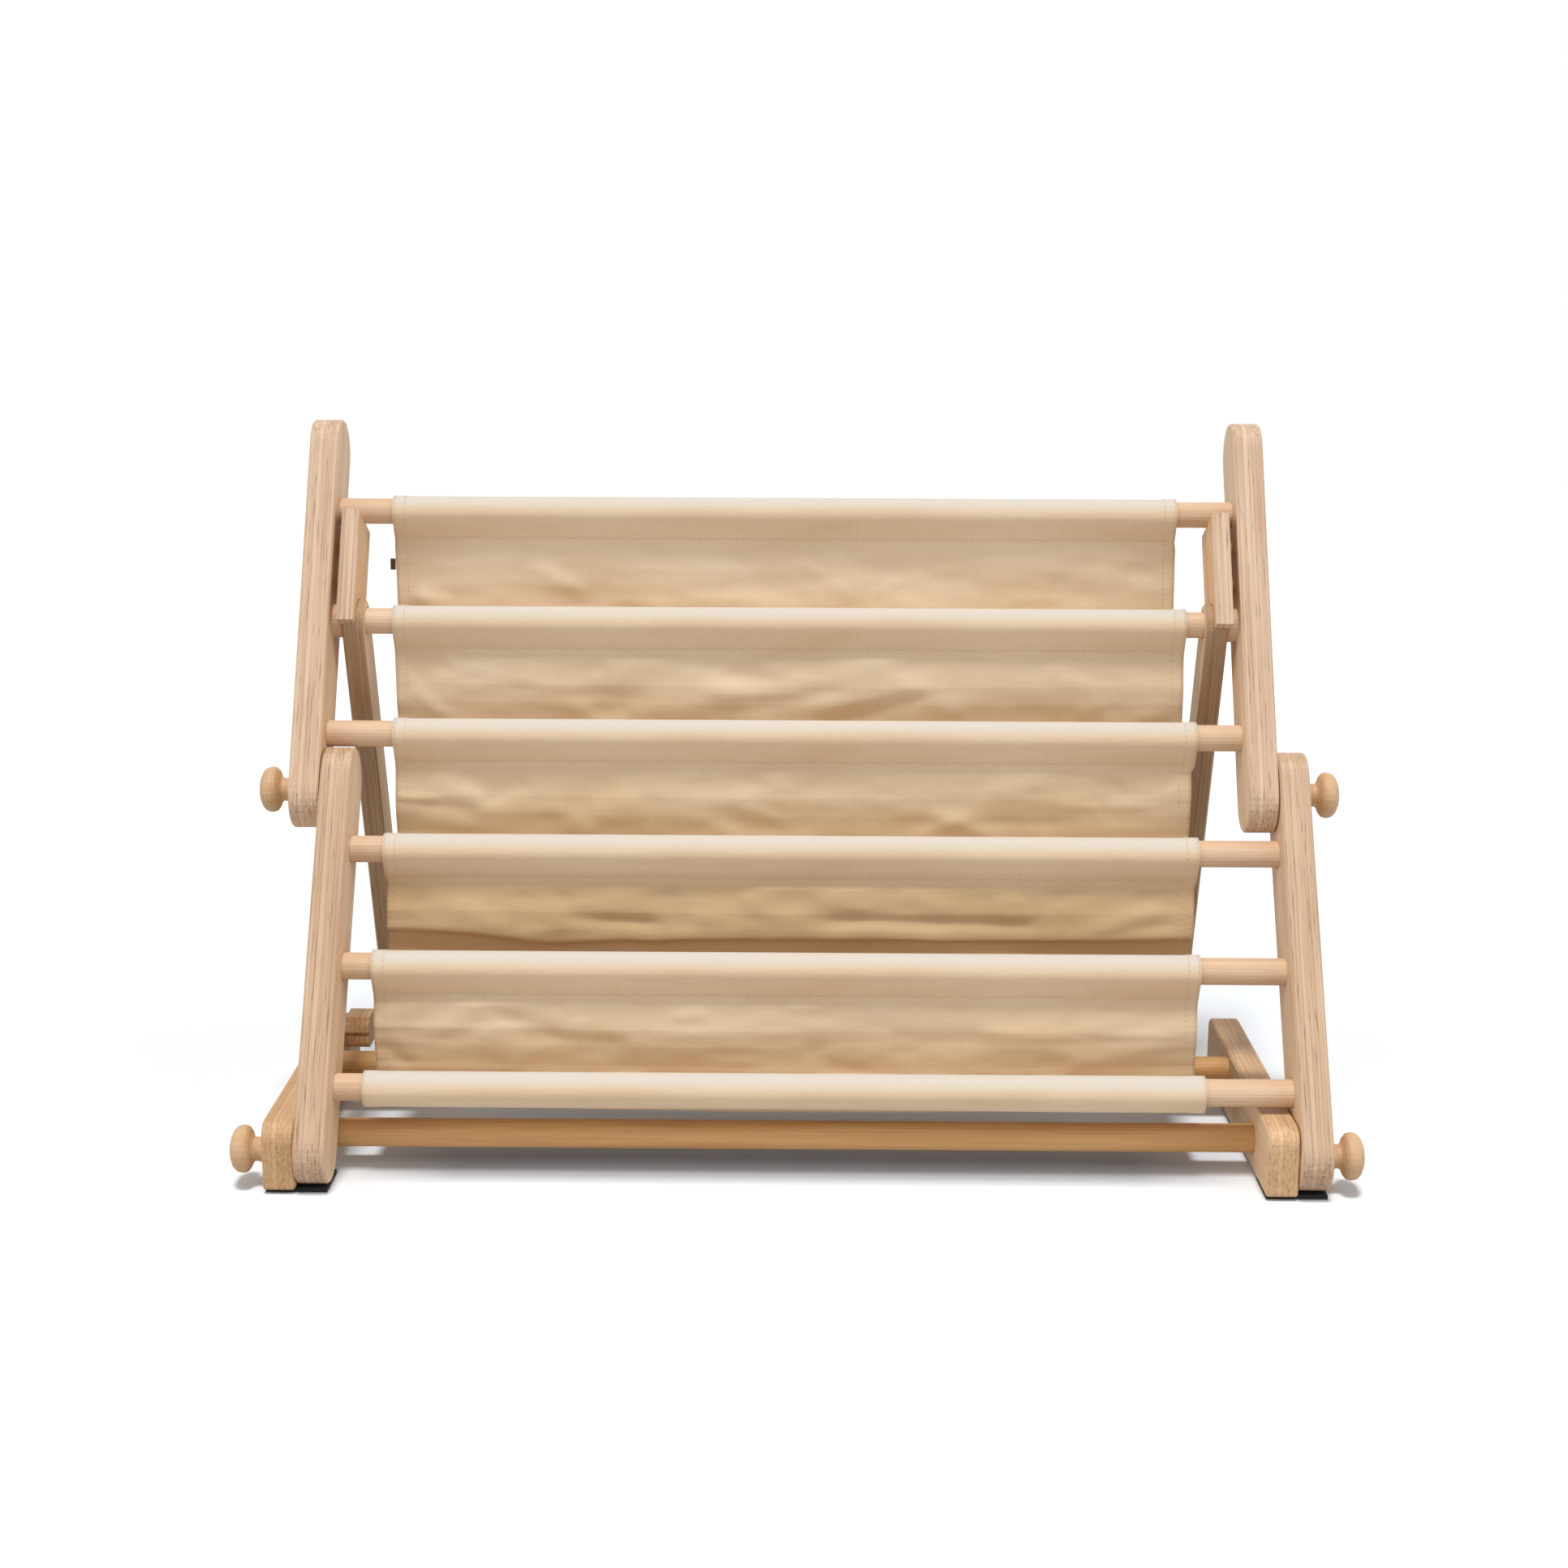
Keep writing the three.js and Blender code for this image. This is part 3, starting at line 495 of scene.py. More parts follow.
# Per board: the grain's angle from upright in degrees, a seed, how golden its faces and its edges
# are, and what the colours of its edges are multiplied by: painted shade on the struts, painted
# light on the notched block, and a small lightening or darkening of the other boards' edges.
boards = {
    "base_leg_left": (90, 0.31, 0.5, 0.9, 0.92),
    "base_leg_right": (90, 0.77, 0.3, 0.7, 1.06),
    "lower_leg_left": (31.5, 1.37, 0.1, 0.25, 0.9),
    "lower_leg_right": (31.5, 2.11, 0.1, 0.2, 0.92),
    "upper_leg_left": (27.75, 2.93, 0.1, 0.1, 1),
    "upper_leg_right": (27.75, 3.41, 0.1, 0, 1),
    "stop_plate_left": (27.75, 4.17, 0.8, 0, 0.98),
    "stop_plate_right": (27.75, 4.71, 0.8, 0, 0.98),
    "strut_left": (-19.84, 5.23, 0.5, 0.6, 0.72),
    "strut_right": (-19.84, 5.83, 0.5, 0.6, 0.66),
    "notched_block": (90, 6.37, 0.8, 0.9, 1.35),
}
for name, board in boards.items():
    low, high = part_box(name)
    start, thickness = low.x, high.x - low.x
    if name.startswith("stop_plate"):
        thickness = plyLooks["stopPlate"]
        start = high.x - thickness if low.x < 0 else low.x
    dress(name, plywoodMaterial("Plywood_" + name, board, start, thickness))

# Turned wood: which pieces, the first one's seed and the step to the next one's, and their finish.
alongX = {"rotation": (0, math.pi / 2, 0), "seedShift": (1.0, 0.6, 1.7), "smoothAngle": 32}
paleRod = {"light": srgb(224, 195, 165), "dark": srgb(206, 166, 129), "fleckShare": 0.2, **alongX}
goldenRod = {"light": srgb(222, 174, 116), "dark": srgb(192, 138, 82), "fleckShare": 0.2, **alongX}
turnedLooks = {
    "Rung": {"node": "rung_{}", "pieces": range(1, 7), "seeds": (0.83, 0.83), **paleRod},
    "Rod": {
        "node": "{}",
        "pieces": ("base_crossbar_front", "base_crossbar_rear", "strut_crossbar"),
        "seeds": (7.1, 0.57),
        **goldenRod,
    },
    "Spacer": {
        "node": "{}",
        "pieces": ("strut_spacer_left", "strut_spacer_right"),
        "seeds": (9.2, 0.57),
        **paleRod,
    },
    "Knob": {
        "node": "{}_knob",
        "pieces": ("base_left", "base_right", "elbow_left", "elbow_right"),
        "seeds": (11.3, 0.71),
        "light": srgb(216, 181, 143),
        "dark": srgb(194, 153, 112),
        "fleckShare": 0.5,
        "rotation": (0, 0, 0),
        "seedShift": (1.0, 0.6, 1.7),
        "smoothAngle": 40,
    },
}
for kind, look in turnedLooks.items():
    first, step = look["seeds"]
    for index, piece in enumerate(look["pieces"]):
        material = turnedMaterial(f"{kind}_{piece}", look, first + index * step)
        dress(look["node"].format(piece), material, look["smoothAngle"])

steel = plainMaterial("Zinc")
rubber = plainMaterial("Rubber")
for name in nodes:
    if name.endswith(("_stud", "_washer")):
        dress(name, steel)
    if name.startswith("pad_"):
        dress(name, rubber)
print("stage: frame dressed")

# The sling: one length of canvas per pocket. It starts behind a rung, goes over it, is sewn to
# itself below the rung, hangs down, turns and comes up behind the next rung.

cloth = {
    "thickness": 1.2 * mm,
    "hemWidth": 8.5 * mm,
    "hemExtra": 0.55 * mm,
    "hemSlope": 0.6 * mm,  # the width in which the hem's extra thickness fades out
    "sleeveRadius": 9.5 * mm,
    "seamDrop": 8 * mm,  # from the sleeve's round to its seam
    "seamGap": 0.1 * mm,
    "pocketDrop": 17 * mm,  # from the next rung to the bottom of the pocket
    "sag": 4 * mm,
    "rungGap": 0.35 * mm,  # from the next sleeve to the cloth behind it
    "wrapAngle": 34,
    "rows": {"seam": 9, "sleeve": 44, "sheet": 84, "bend": 26, "rise": 8, "wrap": 5},
    "columns": 200,
    "aspect": 0.487 / 0.062,  # of a hanging sheet
    # Shares down the hanging sheet that its folds take to grow and to fade at its ends, and how
    # quickly it swings from its seam to below the middle of its rung.
    "grow": 0.12,
    "fade": 0.08,
    "plumb": 9,
    # Each edge steps in over so many rows, and has drifted by this share when the sheet ends.
    "stepRows": 7,
    "slipShare": 0.2,
    "bellyShape": ((0, 0), (0.18, 0.55), (0.4, 1), (0.6, 0.82), (0.85, 0.12), (1, 0)),
    "lipFade": 5,
    "hangPlace": 0.016,
    "hangWidth": 0.022,
    # What varies across a sheet: seed, hills, middle value and how far it goes up and down.
    "puckerDrift": (70, 60, 0, 0.22 * mm),
    "lipDrift": (40, 7, 0.82, 0.18),
    "hangDrift": (50, 6, 0.75, 0.25),
    "bellyDrift": (60, 5, 0.85, 0.3),
    # Wrinkles: hills across, hills down and what their height is divided by.
    "wrinkle": 0.42 * mm,
    "wrinkles": ((5, 2, 0.6), (14, 4, 1.3), (31, 9, 2.0)),
}
# The small folds of a limp cloth, in shares across and down the hanging sheet.
looseFold = {
    "count": 26,
    "fromLeft": (-0.03, 0.98),
    "fromTop": (0.02, 0.9),
    "length": (0.03, 0.13),
    "steepness": (-6.28, 6.28),  # share down per share across: up to about 40 degrees
    "width": (0.09, 0.2),
    "depth": 1.15 * mm,
    "depthShare": (0.4, 1.0),
}
# The lowest sleeve, which is a loose ring.
lowestSleeve = {
    "drop": 11.6 * mm,
    "rows": 72,
    "narrowing": 0.1,
    "slackFrom": 0.55,  # it hangs lower from this share across
    "slack": 0.12,
    "drift": (81, 6, 0, 0.03),
}
stitch = {
    "spacing": 3.4 * mm,
    "length": 2.5 * mm,
    "width": 0.55 * mm,
    "segments": 6,
    "rings": 4,
    "fromEdge": (1.6 * mm, 7.4 * mm),
    "aboveSeam": 1.6 * mm,
    "columnsClear": 3,
    "rowsPastSheet": 4,
}
# Per pocket: how far the hanging sheet swells to the front in mm, the tone of its cloth (painted
# shade below 1 and painted light above 1), how far its left and right edges stand in from its
# sleeve's ends in mm, and the seed of its loose folds.
# Its level fold has its share down at places across, how far its lip stands out in mm, how sharp
# it is and how far it hangs over itself in mm. Its creases are (start, end, width, depth in mm),
# as shares across from the left and down.
pockets = [
    {
        "belly": -0.6,
        "tone": (1.05, 1.1, 1.14),
        "insets": (-0.2, -0.8),
        "seed": 317,
        "fold": {"at": [(0, 0.66), (0.5, 0.6), (1, 0.64)], "depth": -0.5, "sharp": 18, "hang": 0},
        "creases": [
            ((0.022, 0.63), (0.055, 0.88), 0.11, 0.9),
            ((0.13, 0.50), (0.25, 0.50), 0.09, 0.4),
            ((0.30, 0.33), (0.44, 0.36), 0.07, 0.35),
            ((0.42, 0.50), (0.52, 0.56), 0.12, -0.8),
            ((0.60, 0.05), (0.645, 0.72), 0.2, -1.2),
            ((0.625, 0.5), (0.66, 0.95), 0.16, 1.0),
            ((0.845, 0.02), (0.955, 0.24), 0.1, 0.9),
            ((0.68, 0.45), (0.76, 0.45), 0.09, -0.6),
            ((0.84, 0.50), (0.90, 0.60), 0.14, -0.8),
        ],
    },
    {
        "belly": 2.6,
        "tone": (0.97, 0.99, 0.99),
        "insets": (0.2, 0.2),
        "seed": 301,
        "fold": {"at": [(0, 0.6), (0.45, 0.7), (1, 0.62)], "depth": 0.6, "sharp": 20, "hang": 0},
        "creases": [
            ((0.02, 0.47), (0.06, 0.78), 0.09, 1.1),
            ((0.19, 0.52), (0.30, 0.52), 0.09, -0.8),
            ((0.385, 0.47), (0.52, 0.48), 0.06, 0.45),
            ((0.40, 0.62), (0.51, 0.70), 0.16, -0.7),
            ((0.54, 0.80), (0.68, 0.50), 0.1, -1.5),
            ((0.53, 0.62), (0.69, 0.36), 0.12, 0.8),
            ((0.75, 0.50), (0.86, 0.84), 0.2, -0.9),
            ((0.90, 0.90), (0.99, 0.66), 0.12, 1.0),
        ],
    },
    {
        "belly": 3.0,
        "tone": (0.95, 0.96, 0.93),
        "insets": (0.2, 2.0),
        "seed": 302,
        "fold": {
            "at": [(0, 0.56), (0.3, 0.66), (0.7, 0.62), (1, 0.66)],
            "depth": 0.6,
            "sharp": 20,
            "hang": 0,
        },
        "creases": [
            ((0.00, 0.43), (0.055, 0.45), 0.05, 0.9),
            ((0.03, 0.52), (0.10, 0.58), 0.12, -1.2),
            ((0.09, 0.10), (0.13, 0.46), 0.15, -1.1),
            ((0.19, 0.45), (0.25, 0.9), 0.15, 0.9),
            ((0.45, 0.60), (0.62, 0.68), 0.16, -0.7),
            ((0.83, 0.48), (0.97, 0.50), 0.07, 0.6),
            ((0.80, 0.58), (0.95, 0.64), 0.12, -0.8),
            ((0.60, 0.15), (0.72, 0.24), 0.16, 0.6),
        ],
    },
    {
        "belly": 3.4,
        "tone": (0.78, 0.72, 0.61),
        "insets": (1.2, 1.2),
        "seed": 303,
        "fold": {
            "at": [(0, 0.64), (0.105, 0.645), (0.2, 0.745), (0.3, 0.695), (0.33, 0.71)]
            + [(0.37, 0.68), (0.5, 0.665), (0.655, 0.67), (0.68, 0.69), (1, 0.7)],
            "depth": 3.7,
            "sharp": 95,
            "hang": 2.6,
        },
        "creases": [
            ((0.05, 0.26), (0.13, 0.52), 0.16, 0.9),
            ((0.22, 0.47), (0.34, 0.55), 0.09, -1.9),
            ((0.34, 0.10), (0.37, 0.62), 0.16, -1.0),
            ((0.38, 0.42), (0.44, 0.62), 0.14, 0.9),
            ((0.53, 0.46), (0.84, 0.56), 0.1, -2.2),
            ((0.64, 0.10), (0.70, 0.36), 0.14, 0.9),
            ((0.87, 0.62), (0.97, 0.32), 0.12, 1.5),
            ((0.93, 0.12), (0.98, 0.3), 0.14, -0.8),
        ],
    },
    {
        "belly": 3.0,
        "tone": (0.95, 0.96, 0.94),
        "insets": (0.2, 0.4),
        "seed": 304,
        "fold": {"at": [(0, 0.5), (0.4, 0.46), (1, 0.5)], "depth": 0.5, "sharp": 26, "hang": 0},
        "creases": [
            ((0.005, 0.60), (0.04, 0.92), 0.1, -1.2),
            ((0.00, 0.38), (0.22, 0.38), 0.06, 0.3),
            ((0.13, 0.45), (0.18, 0.88), 0.18, 0.8),
            ((0.27, 0.52), (0.32, 0.92), 0.18, -0.9),
            ((0.45, 0.25), (0.58, 0.37), 0.16, 0.6),
            ((0.74, 0.40), (0.79, 0.41), 0.06, 0.35),
            ((0.87, 0.44), (0.985, 0.45), 0.05, 0.45),
            ((0.84, 0.80), (0.97, 0.58), 0.14, 1.0),
        ],
    },
]

rungs, edges = [], []
for index in range(1, 7):
    low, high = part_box(f"rung_{index}")
    rungs.append(((low.y + high.y) / 2, (low.z + high.z) / 2))
    low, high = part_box(f"sleeve_{index}")
    edges.append((low.x, high.x))


# Shares of the way, from just past 0 to 1.
def shares(count):
    return np.linspace(0, 1, count + 1)[None, 1:]


def columnShares():
    return np.linspace(0, 1, cloth["columns"] + 1)[:, None]


def bumpCurve(distance, width):
    return np.exp(-((distance / width) ** 2))


def eased(share):
    return share * share * (3 - 2 * share)


# A soft crease from start to end, each (share across, share down), as a height over the sheet.
def crease(across, down, start, end, width, depth):
    line = np.array([(end[0] - start[0]) * cloth["aspect"], end[1] - start[1]])
    length = math.hypot(*line)
    line /= length
    x = (across - start[0]) * cloth["aspect"]
    y = down - start[1]
    along = (x * line[0] + y * line[1]) / length
    off = x * line[1] - y * line[0]
    taper = np.clip(np.minimum(along, 1 - along) * 3 + 0.4, 0, 1)
    return depth * bumpCurve(off, width) * eased(taper)


# A smooth random surface between -1 and 1 with a given count of hills across and down.
def hills(seed, countAcross, countDown, across, down):
    values = np.random.default_rng(seed).uniform(-1, 1, (countAcross + 2, countDown + 2))
    x = np.clip(across, 0, 1) * countAcross + 0 * down
    y = np.clip(down, 0, 1) * countDown + 0 * across
    column, row = np.floor(x).astype(int), np.floor(y).astype(int)
    x, y = eased(x - column), eased(y - row)
    left = values[column, row] * (1 - y) + values[column, row + 1] * y
    right = values[column + 1, row] * (1 - y) + values[column + 1, row + 1] * y
    return left * (1 - x) + right * x


# A value that varies across a sheet and not down it.
def drifting(drift, index, across, down):
    seed, count, middle, spread = drift
    return middle + spread * hills(seed + index, count, 1, across, 0 * down)


# A line through places of (share across, share down), with its corners rounded.
def smoothCurve(places, across, window=17):
    fine = np.linspace(0, 1, 401)
    level = np.interp(fine, *zip(*places))
    kernel = bumpCurve(np.linspace(-1, 1, window), 0.5)
    padded = np.pad(level, window // 2, mode="edge")
    level = np.convolve(padded, kernel / kernel.sum(), mode="valid")
    return np.interp(across, fine, level)


def looseFolds(seed, across, down):
    random = np.random.default_rng(seed)
    height = 0 * across + 0 * down
    for _ in range(looseFold["count"]):
        start = (random.uniform(*looseFold["fromLeft"]), random.uniform(*looseFold["fromTop"]))
        length = random.uniform(*looseFold["length"])
        end = (start[0] + length, start[1] + length * random.uniform(*looseFold["steepness"]))
        width = random.uniform(*looseFold["width"])
        depth = looseFold["depth"] * random.uniform(*looseFold["depthShare"])
        depth = depth * random.choice((-1, 1))
        height = height + crease(across, down, start, end, width, depth)
    return height


# The sleeve's part of a panel: up from the seam behind the rung, over it and down to the seam in
# front. The seam is tip below the rung's middle.
def sleeveLine(tip):
    middle = cloth["sleeveRadius"] - cloth["thickness"] / 2
    leave = math.acos(middle / tip)
    turn = np.linspace(leave - math.pi / 2, 1.5 * math.pi - leave, cloth["rows"]["sleeve"])
    gap = cloth["thickness"] / 2 + cloth["seamGap"]
    share = shares(cloth["rows"]["seam"])[0]
    ringY, ringZ = middle * np.cos(turn), middle * np.sin(turn)
    made = []
    for ring, rearEnd, frontEnd in ((ringY, gap, -gap), (ringZ, -tip, -tip)):
        rear = ring[0] + (rearEnd - ring[0]) * share
        front = ring[-1] + (frontEnd - ring[-1]) * share
        made.append(np.concatenate([rear[::-1], ring, front])[None, :])
    return made


# How far a hanging sheet stands out to the front of its plumb line.
def sheetHeight(index, across, down):
    pocket = pockets[index]
    height = 0 * across + 0 * down
    for start, end, width, depth in pocket["creases"]:
        height = height + crease(across, down, start, end, width, depth * mm)
    height = height + looseFolds(pocket["seed"], across, down)
    fold = pocket["fold"]
    foldAt = smoothCurve(fold["at"], across)
    lip = 1 / (1 + np.exp((down - foldAt) * fold["sharp"]))
    swell = np.exp(-np.clip(foldAt - down, 0, None) * cloth["lipFade"])
    strength = drifting(cloth["lipDrift"], index, across, down)
    height = height + fold["depth"] * mm * lip * swell * strength
    belly = pocket["belly"] * mm * np.interp(down, *zip(*cloth["bellyShape"]))
    height = height + belly * drifting(cloth["bellyDrift"], index, across, down)
    for order, (countAcross, countDown, divisor) in enumerate(cloth["wrinkles"]):
        wrinkle = hills(10 * index + order, countAcross, countDown, across, down)
        height = height + cloth["wrinkle"] * wrinkle / divisor
    return height


# Middle line points of a panel: arrays [column, row] of x, y, z from the seam behind the upper
# rung on, and the row of the seam in front.
def panelSurface(index):
    upper, lower = rungs[index], rungs[index + 1]
    rows, half = cloth["rows"], cloth["thickness"] / 2
    across = columnShares()
    tip = cloth["sleeveRadius"] + cloth["seamDrop"] - half
    ringY, ringZ = sleeveLine(tip)
    below = np.clip(-ringZ / tip, 0, 1)
    pucker = drifting(cloth["puckerDrift"], index, across, ringY) * below
    sleeveY = upper[0] + ringY + pucker * np.sign(ringY)
    sleeveZ = upper[1] + ringZ + 0 * across

    top = upper[1] - tip
    start = float(ringY[0, -1])
    front = lower[0] + cloth["sleeveRadius"] + cloth["rungGap"] + half
    radius = (upper[0] - front) / 2
    sag = cloth["sag"] * (1 - (2 * across - 1) ** 2)
    bendHeight = lower[1] - cloth["pocketDrop"] - sag + radius
    down = shares(rows["sheet"])
    ease = np.clip(down / cloth["grow"], 0, 1) * np.clip((1 - down) / cloth["fade"], 0, 1)
    height = sheetHeight(index, across, down) * ease
    sheetY = upper[0] + start * np.exp(-down * cloth["plumb"]) - height
    # A fold that hangs is drawn down over the cloth below it.
    fold = pockets[index]["fold"]
    fromFold = down - smoothCurve(fold["at"], across) + cloth["hangPlace"]
    droop = bumpCurve(fromFold, cloth["hangWidth"])
    droop = droop * drifting(cloth["hangDrift"], index, across, down)
    sheetZ = top + (bendHeight - top) * down - fold["hang"] * mm * droop + 0 * sheetY
    turn = math.pi * shares(rows["bend"])
    bendY = (upper[0] + front) / 2 + radius * np.cos(turn) + 0 * across
    bendZ = bendHeight - radius * np.sin(turn)
    rise = shares(rows["rise"])
    riseY = front + 0 * rise + 0 * across
    riseZ = bendHeight + (lower[1] - bendHeight) * rise
    wrap = math.radians(cloth["wrapAngle"]) * shares(rows["wrap"])
    wrapRadius = front - lower[0]
    wrapY = lower[0] + wrapRadius * np.cos(wrap) + 0 * across
    wrapZ = lower[1] + wrapRadius * np.sin(wrap) + 0 * across

    y = np.concatenate([sleeveY, sheetY, bendY, riseY, wrapY], axis=1)
    z = np.concatenate([sleeveZ, sheetZ, bendZ, riseZ, wrapZ], axis=1)
    # Each edge steps in below the seam, and drifts to the next sleeve's end, mostly behind the
    # rung.
    sleeveCount = ringY.shape[1]
    row = np.arange(y.shape[1])[None, :] - sleeveCount
    inStep = np.clip(row / cloth["stepRows"], 0, 1)
    lastRow = y.shape[1] - sleeveCount - 1
    drift = np.interp(row, (0, rows["sheet"], lastRow), (0, cloth["slipShare"], 1))
    ends = []
    for side, sign in ((0, 1), (1, -1)):
        inset = sign * pockets[index]["insets"][side] * mm * inStep * (1 - drift)
        slip = (edges[index + 1][side] - edges[index][side]) * drift
        ends.append(edges[index][side] + inset + slip)
    x = ends[0] + (ends[1] - ends[0]) * across + 0 * y
    return x, y, z, sleeveCount - 1


# The lowest sleeve is a loose ring with its seam behind.
def lastSleeve():
    centre, (left, right) = rungs[-1], edges[-1]
    across = columnShares()
    middle = cloth["sleeveRadius"] - cloth["thickness"] / 2
    turn = np.linspace(0, 2 * math.pi, lowestSleeve["rows"] + 1)[None, :-1]
    drop = (lowestSleeve["drop"] - cloth["thickness"] / 2) / middle
    slack = lowestSleeve["slack"] * np.clip(across - lowestSleeve["slackFrom"], 0, 1)
    drop = drop * (1 + slack + drifting(lowestSleeve["drift"], 0, across, turn))
    lower = np.clip(-np.sin(turn), 0, 1)
    narrowed = 1 - lowestSleeve["narrowing"] * lower * lower
    y = centre[0] + middle * np.cos(turn) * narrowed + 0 * across
    z = centre[1] + middle * np.sin(turn) * (1 + (drop - 1) * lower)
    x = left + (right - left) * across + 0 * y
    return x, y, z


def arcLength(y, z):
    steps = np.hypot(np.diff(y, axis=1), np.diff(z, axis=1))
    return np.concatenate([np.zeros((y.shape[0], 1)), np.cumsum(steps, axis=1)], axis=1)


# Where the sheet faces, in side view, and half its thickness with the hems.
def sheetNormals(x, y, z, closedRows=False):
    rows = x.shape[1]
    if closedRows:
        before, after = np.roll(np.arange(rows), 1), np.roll(np.arange(rows), -1)
    else:
        before = np.maximum(np.arange(rows) - 1, 0)
        after = np.minimum(np.arange(rows) + 1, rows - 1)
    dy, dz = y[:, after] - y[:, before], z[:, after] - z[:, before]
    length = np.hypot(dy, dz)
    fromEdge = np.minimum(x - x[:1], x[-1:] - x)
    slope = cloth["hemSlope"]
    inHem = np.clip((cloth["hemWidth"] + slope / 2 - fromEdge) / slope, 0, 1)
    return dz / length, -dy / length, (cloth["thickness"] + cloth["hemExtra"] * inHem) / 2


# A quad for each step along two edges of a grid that is drawn once for each side of the cloth.
def rimQuads(a, b, count, flip):
    rim = np.stack([a, a + count, b + count, b], axis=1)
    return rim[:, ::-1] if flip else rim


# A cloth of even thickness round a grid of points [column, row], closed at its edges.
def gridObject(name, x, y, z, material, closedRows=False):
    columns, rows = x.shape
    ny, nz, half = sheetNormals(x, y, z, closedRows)
    uvs = np.stack([x, arcLength(y, z)], axis=2).reshape(-1, 2)
    sides = []
    for side in (1, -1):
        points = np.stack([x, y + side * half * ny, z + side * half * nz], axis=2)
        sides.append(points.reshape(-1, 3))
    count = columns * rows
    index = np.arange(count).reshape(columns, rows)
    nextRow = np.roll(index, -1, axis=1) if closedRows else index[:, 1:]
    thisRow = index if closedRows else index[:, :-1]
    quads = np.stack([thisRow[:-1], nextRow[:-1], nextRow[1:], thisRow[1:]], axis=2)
    quads = quads.reshape(-1, 4)
    faces = [quads, quads[:, ::-1] + count]
    for column, flip in ((0, False), (-1, True)):
        faces.append(rimQuads(thisRow[column], nextRow[column], count, flip))
    if not closedRows:
        for row, flip in ((0, True), (-1, False)):
            faces.append(rimQuads(index[:-1, row], index[1:, row], count, flip))
    allFaces = np.concatenate(faces)
    vertices = np.concatenate(sides)
    mesh = bpy.data.meshes.new(name)
    mesh.vertices.add(len(vertices))
    mesh.vertices.foreach_set("co", vertices.astype(np.float32).ravel())
    mesh.loops.add(allFaces.size)
    mesh.loops.foreach_set("vertex_index", allFaces.astype(np.int32).ravel())
    mesh.polygons.add(len(allFaces))
    mesh.polygons.foreach_set("loop_start", np.arange(0, allFaces.size, 4, dtype=np.int32))
    uvLayer = mesh.uv_layers.new(name="cloth")
    perVertex = np.concatenate([uvs, uvs])
    uvLayer.data.foreach_set("uv", perVertex[allFaces.ravel()].astype(np.float32).ravel())
    mesh.update(calc_edges=True)
    mesh.validate()
    mesh.shade_smooth()
    mesh.materials.append(material)
    obj = bpy.data.objects.new(name, mesh)
    bpy.context.scene.collection.objects.link(obj)
    return obj


# Stitches: short threads laid along lines by Geometry Nodes.
def makeStitchGroup():
    inputs = (
        ("Lines", "Geometry", None),
        ("Spacing", "Float", None),
        ("Length", "Float", None),
        ("Width", "Float", None),
        ("Thread", "Material", None),
    )
    outputs = (("Stitches", "Geometry"),)
    group, given, result = startGroup("StitchRow", inputs, outputs, "GeometryNodeTree")
    length, width = given.outputs["Length"], given.outputs["Width"]
    curve = addNode(group, "GeometryNodeMeshToCurve", {"Mesh": given.outputs["Lines"]})
    sockets = {"Curve": curve.outputs[0], "Length": given.outputs["Spacing"]}
    spaced = addNode(group, "GeometryNodeResampleCurve", sockets, mode="LENGTH")
    sockets = {"Segments": stitch["segments"], "Rings": stitch["rings"], "Radius": 0.5}
    ball = addNode(group, "GeometryNodeMeshUVSphere", sockets)
    sockets = {"Vector": addNode(group, "GeometryNodeInputTangent").outputs[0]}
    turn = addNode(group, "FunctionNodeAlignRotationToVector", sockets, axis="X")
    scale = addNode(group, "ShaderNodeCombineXYZ", {0: length, 1: width, 2: width})
    sockets = {
        "Points": spaced.outputs[0],
        "Instance": ball.outputs["Mesh"],
        "Rotation": turn.outputs[0],
        "Scale": scale.outputs[0],
    }
    placed = addNode(group, "GeometryNodeInstanceOnPoints", sockets)
    real = addNode(group, "GeometryNodeRealizeInstances", {"Geometry": placed.outputs[0]})
    sockets = {"Geometry": real.outputs[0], "Material": given.outputs["Thread"]}
    dressed = addNode(group, "GeometryNodeSetMaterial", sockets)
    feed(group, result, {0: dressed.outputs[0]})
    return group


def stitchObject(name, lines, group, thread):
    vertices, lineEdges = [], []
    for line in lines:
        first = len(vertices)
        vertices += [tuple(map(float, point)) for point in line]
        lineEdges += [(first + i, first + i + 1) for i in range(len(line) - 1)]
    guide = bpy.data.meshes.new(name + "Guide")
    guide.from_pydata(vertices, lineEdges, [])
    obj = bpy.data.objects.new(name, guide)
    bpy.context.scene.collection.objects.link(obj)
    modifier = obj.modifiers.new("Stitches", "NODES")
    modifier.node_group = group
    settings = {name.capitalize(): stitch[name] for name in ("spacing", "length", "width")}
    settings["Thread"] = thread
    for item in group.interface.items_tree:
        if item.item_type == "SOCKET" and item.in_out == "INPUT" and item.name in settings:
            modifier[item.identifier] = settings[item.name]
    bpy.context.view_layer.update()
    evaluated = obj.evaluated_get(bpy.context.evaluated_depsgraph_get())
    made = bpy.data.meshes.new_from_object(evaluated)
    obj.modifiers.clear()
    obj.data = made
    bpy.data.meshes.remove(guide)
    made.shade_smooth()
    return obj


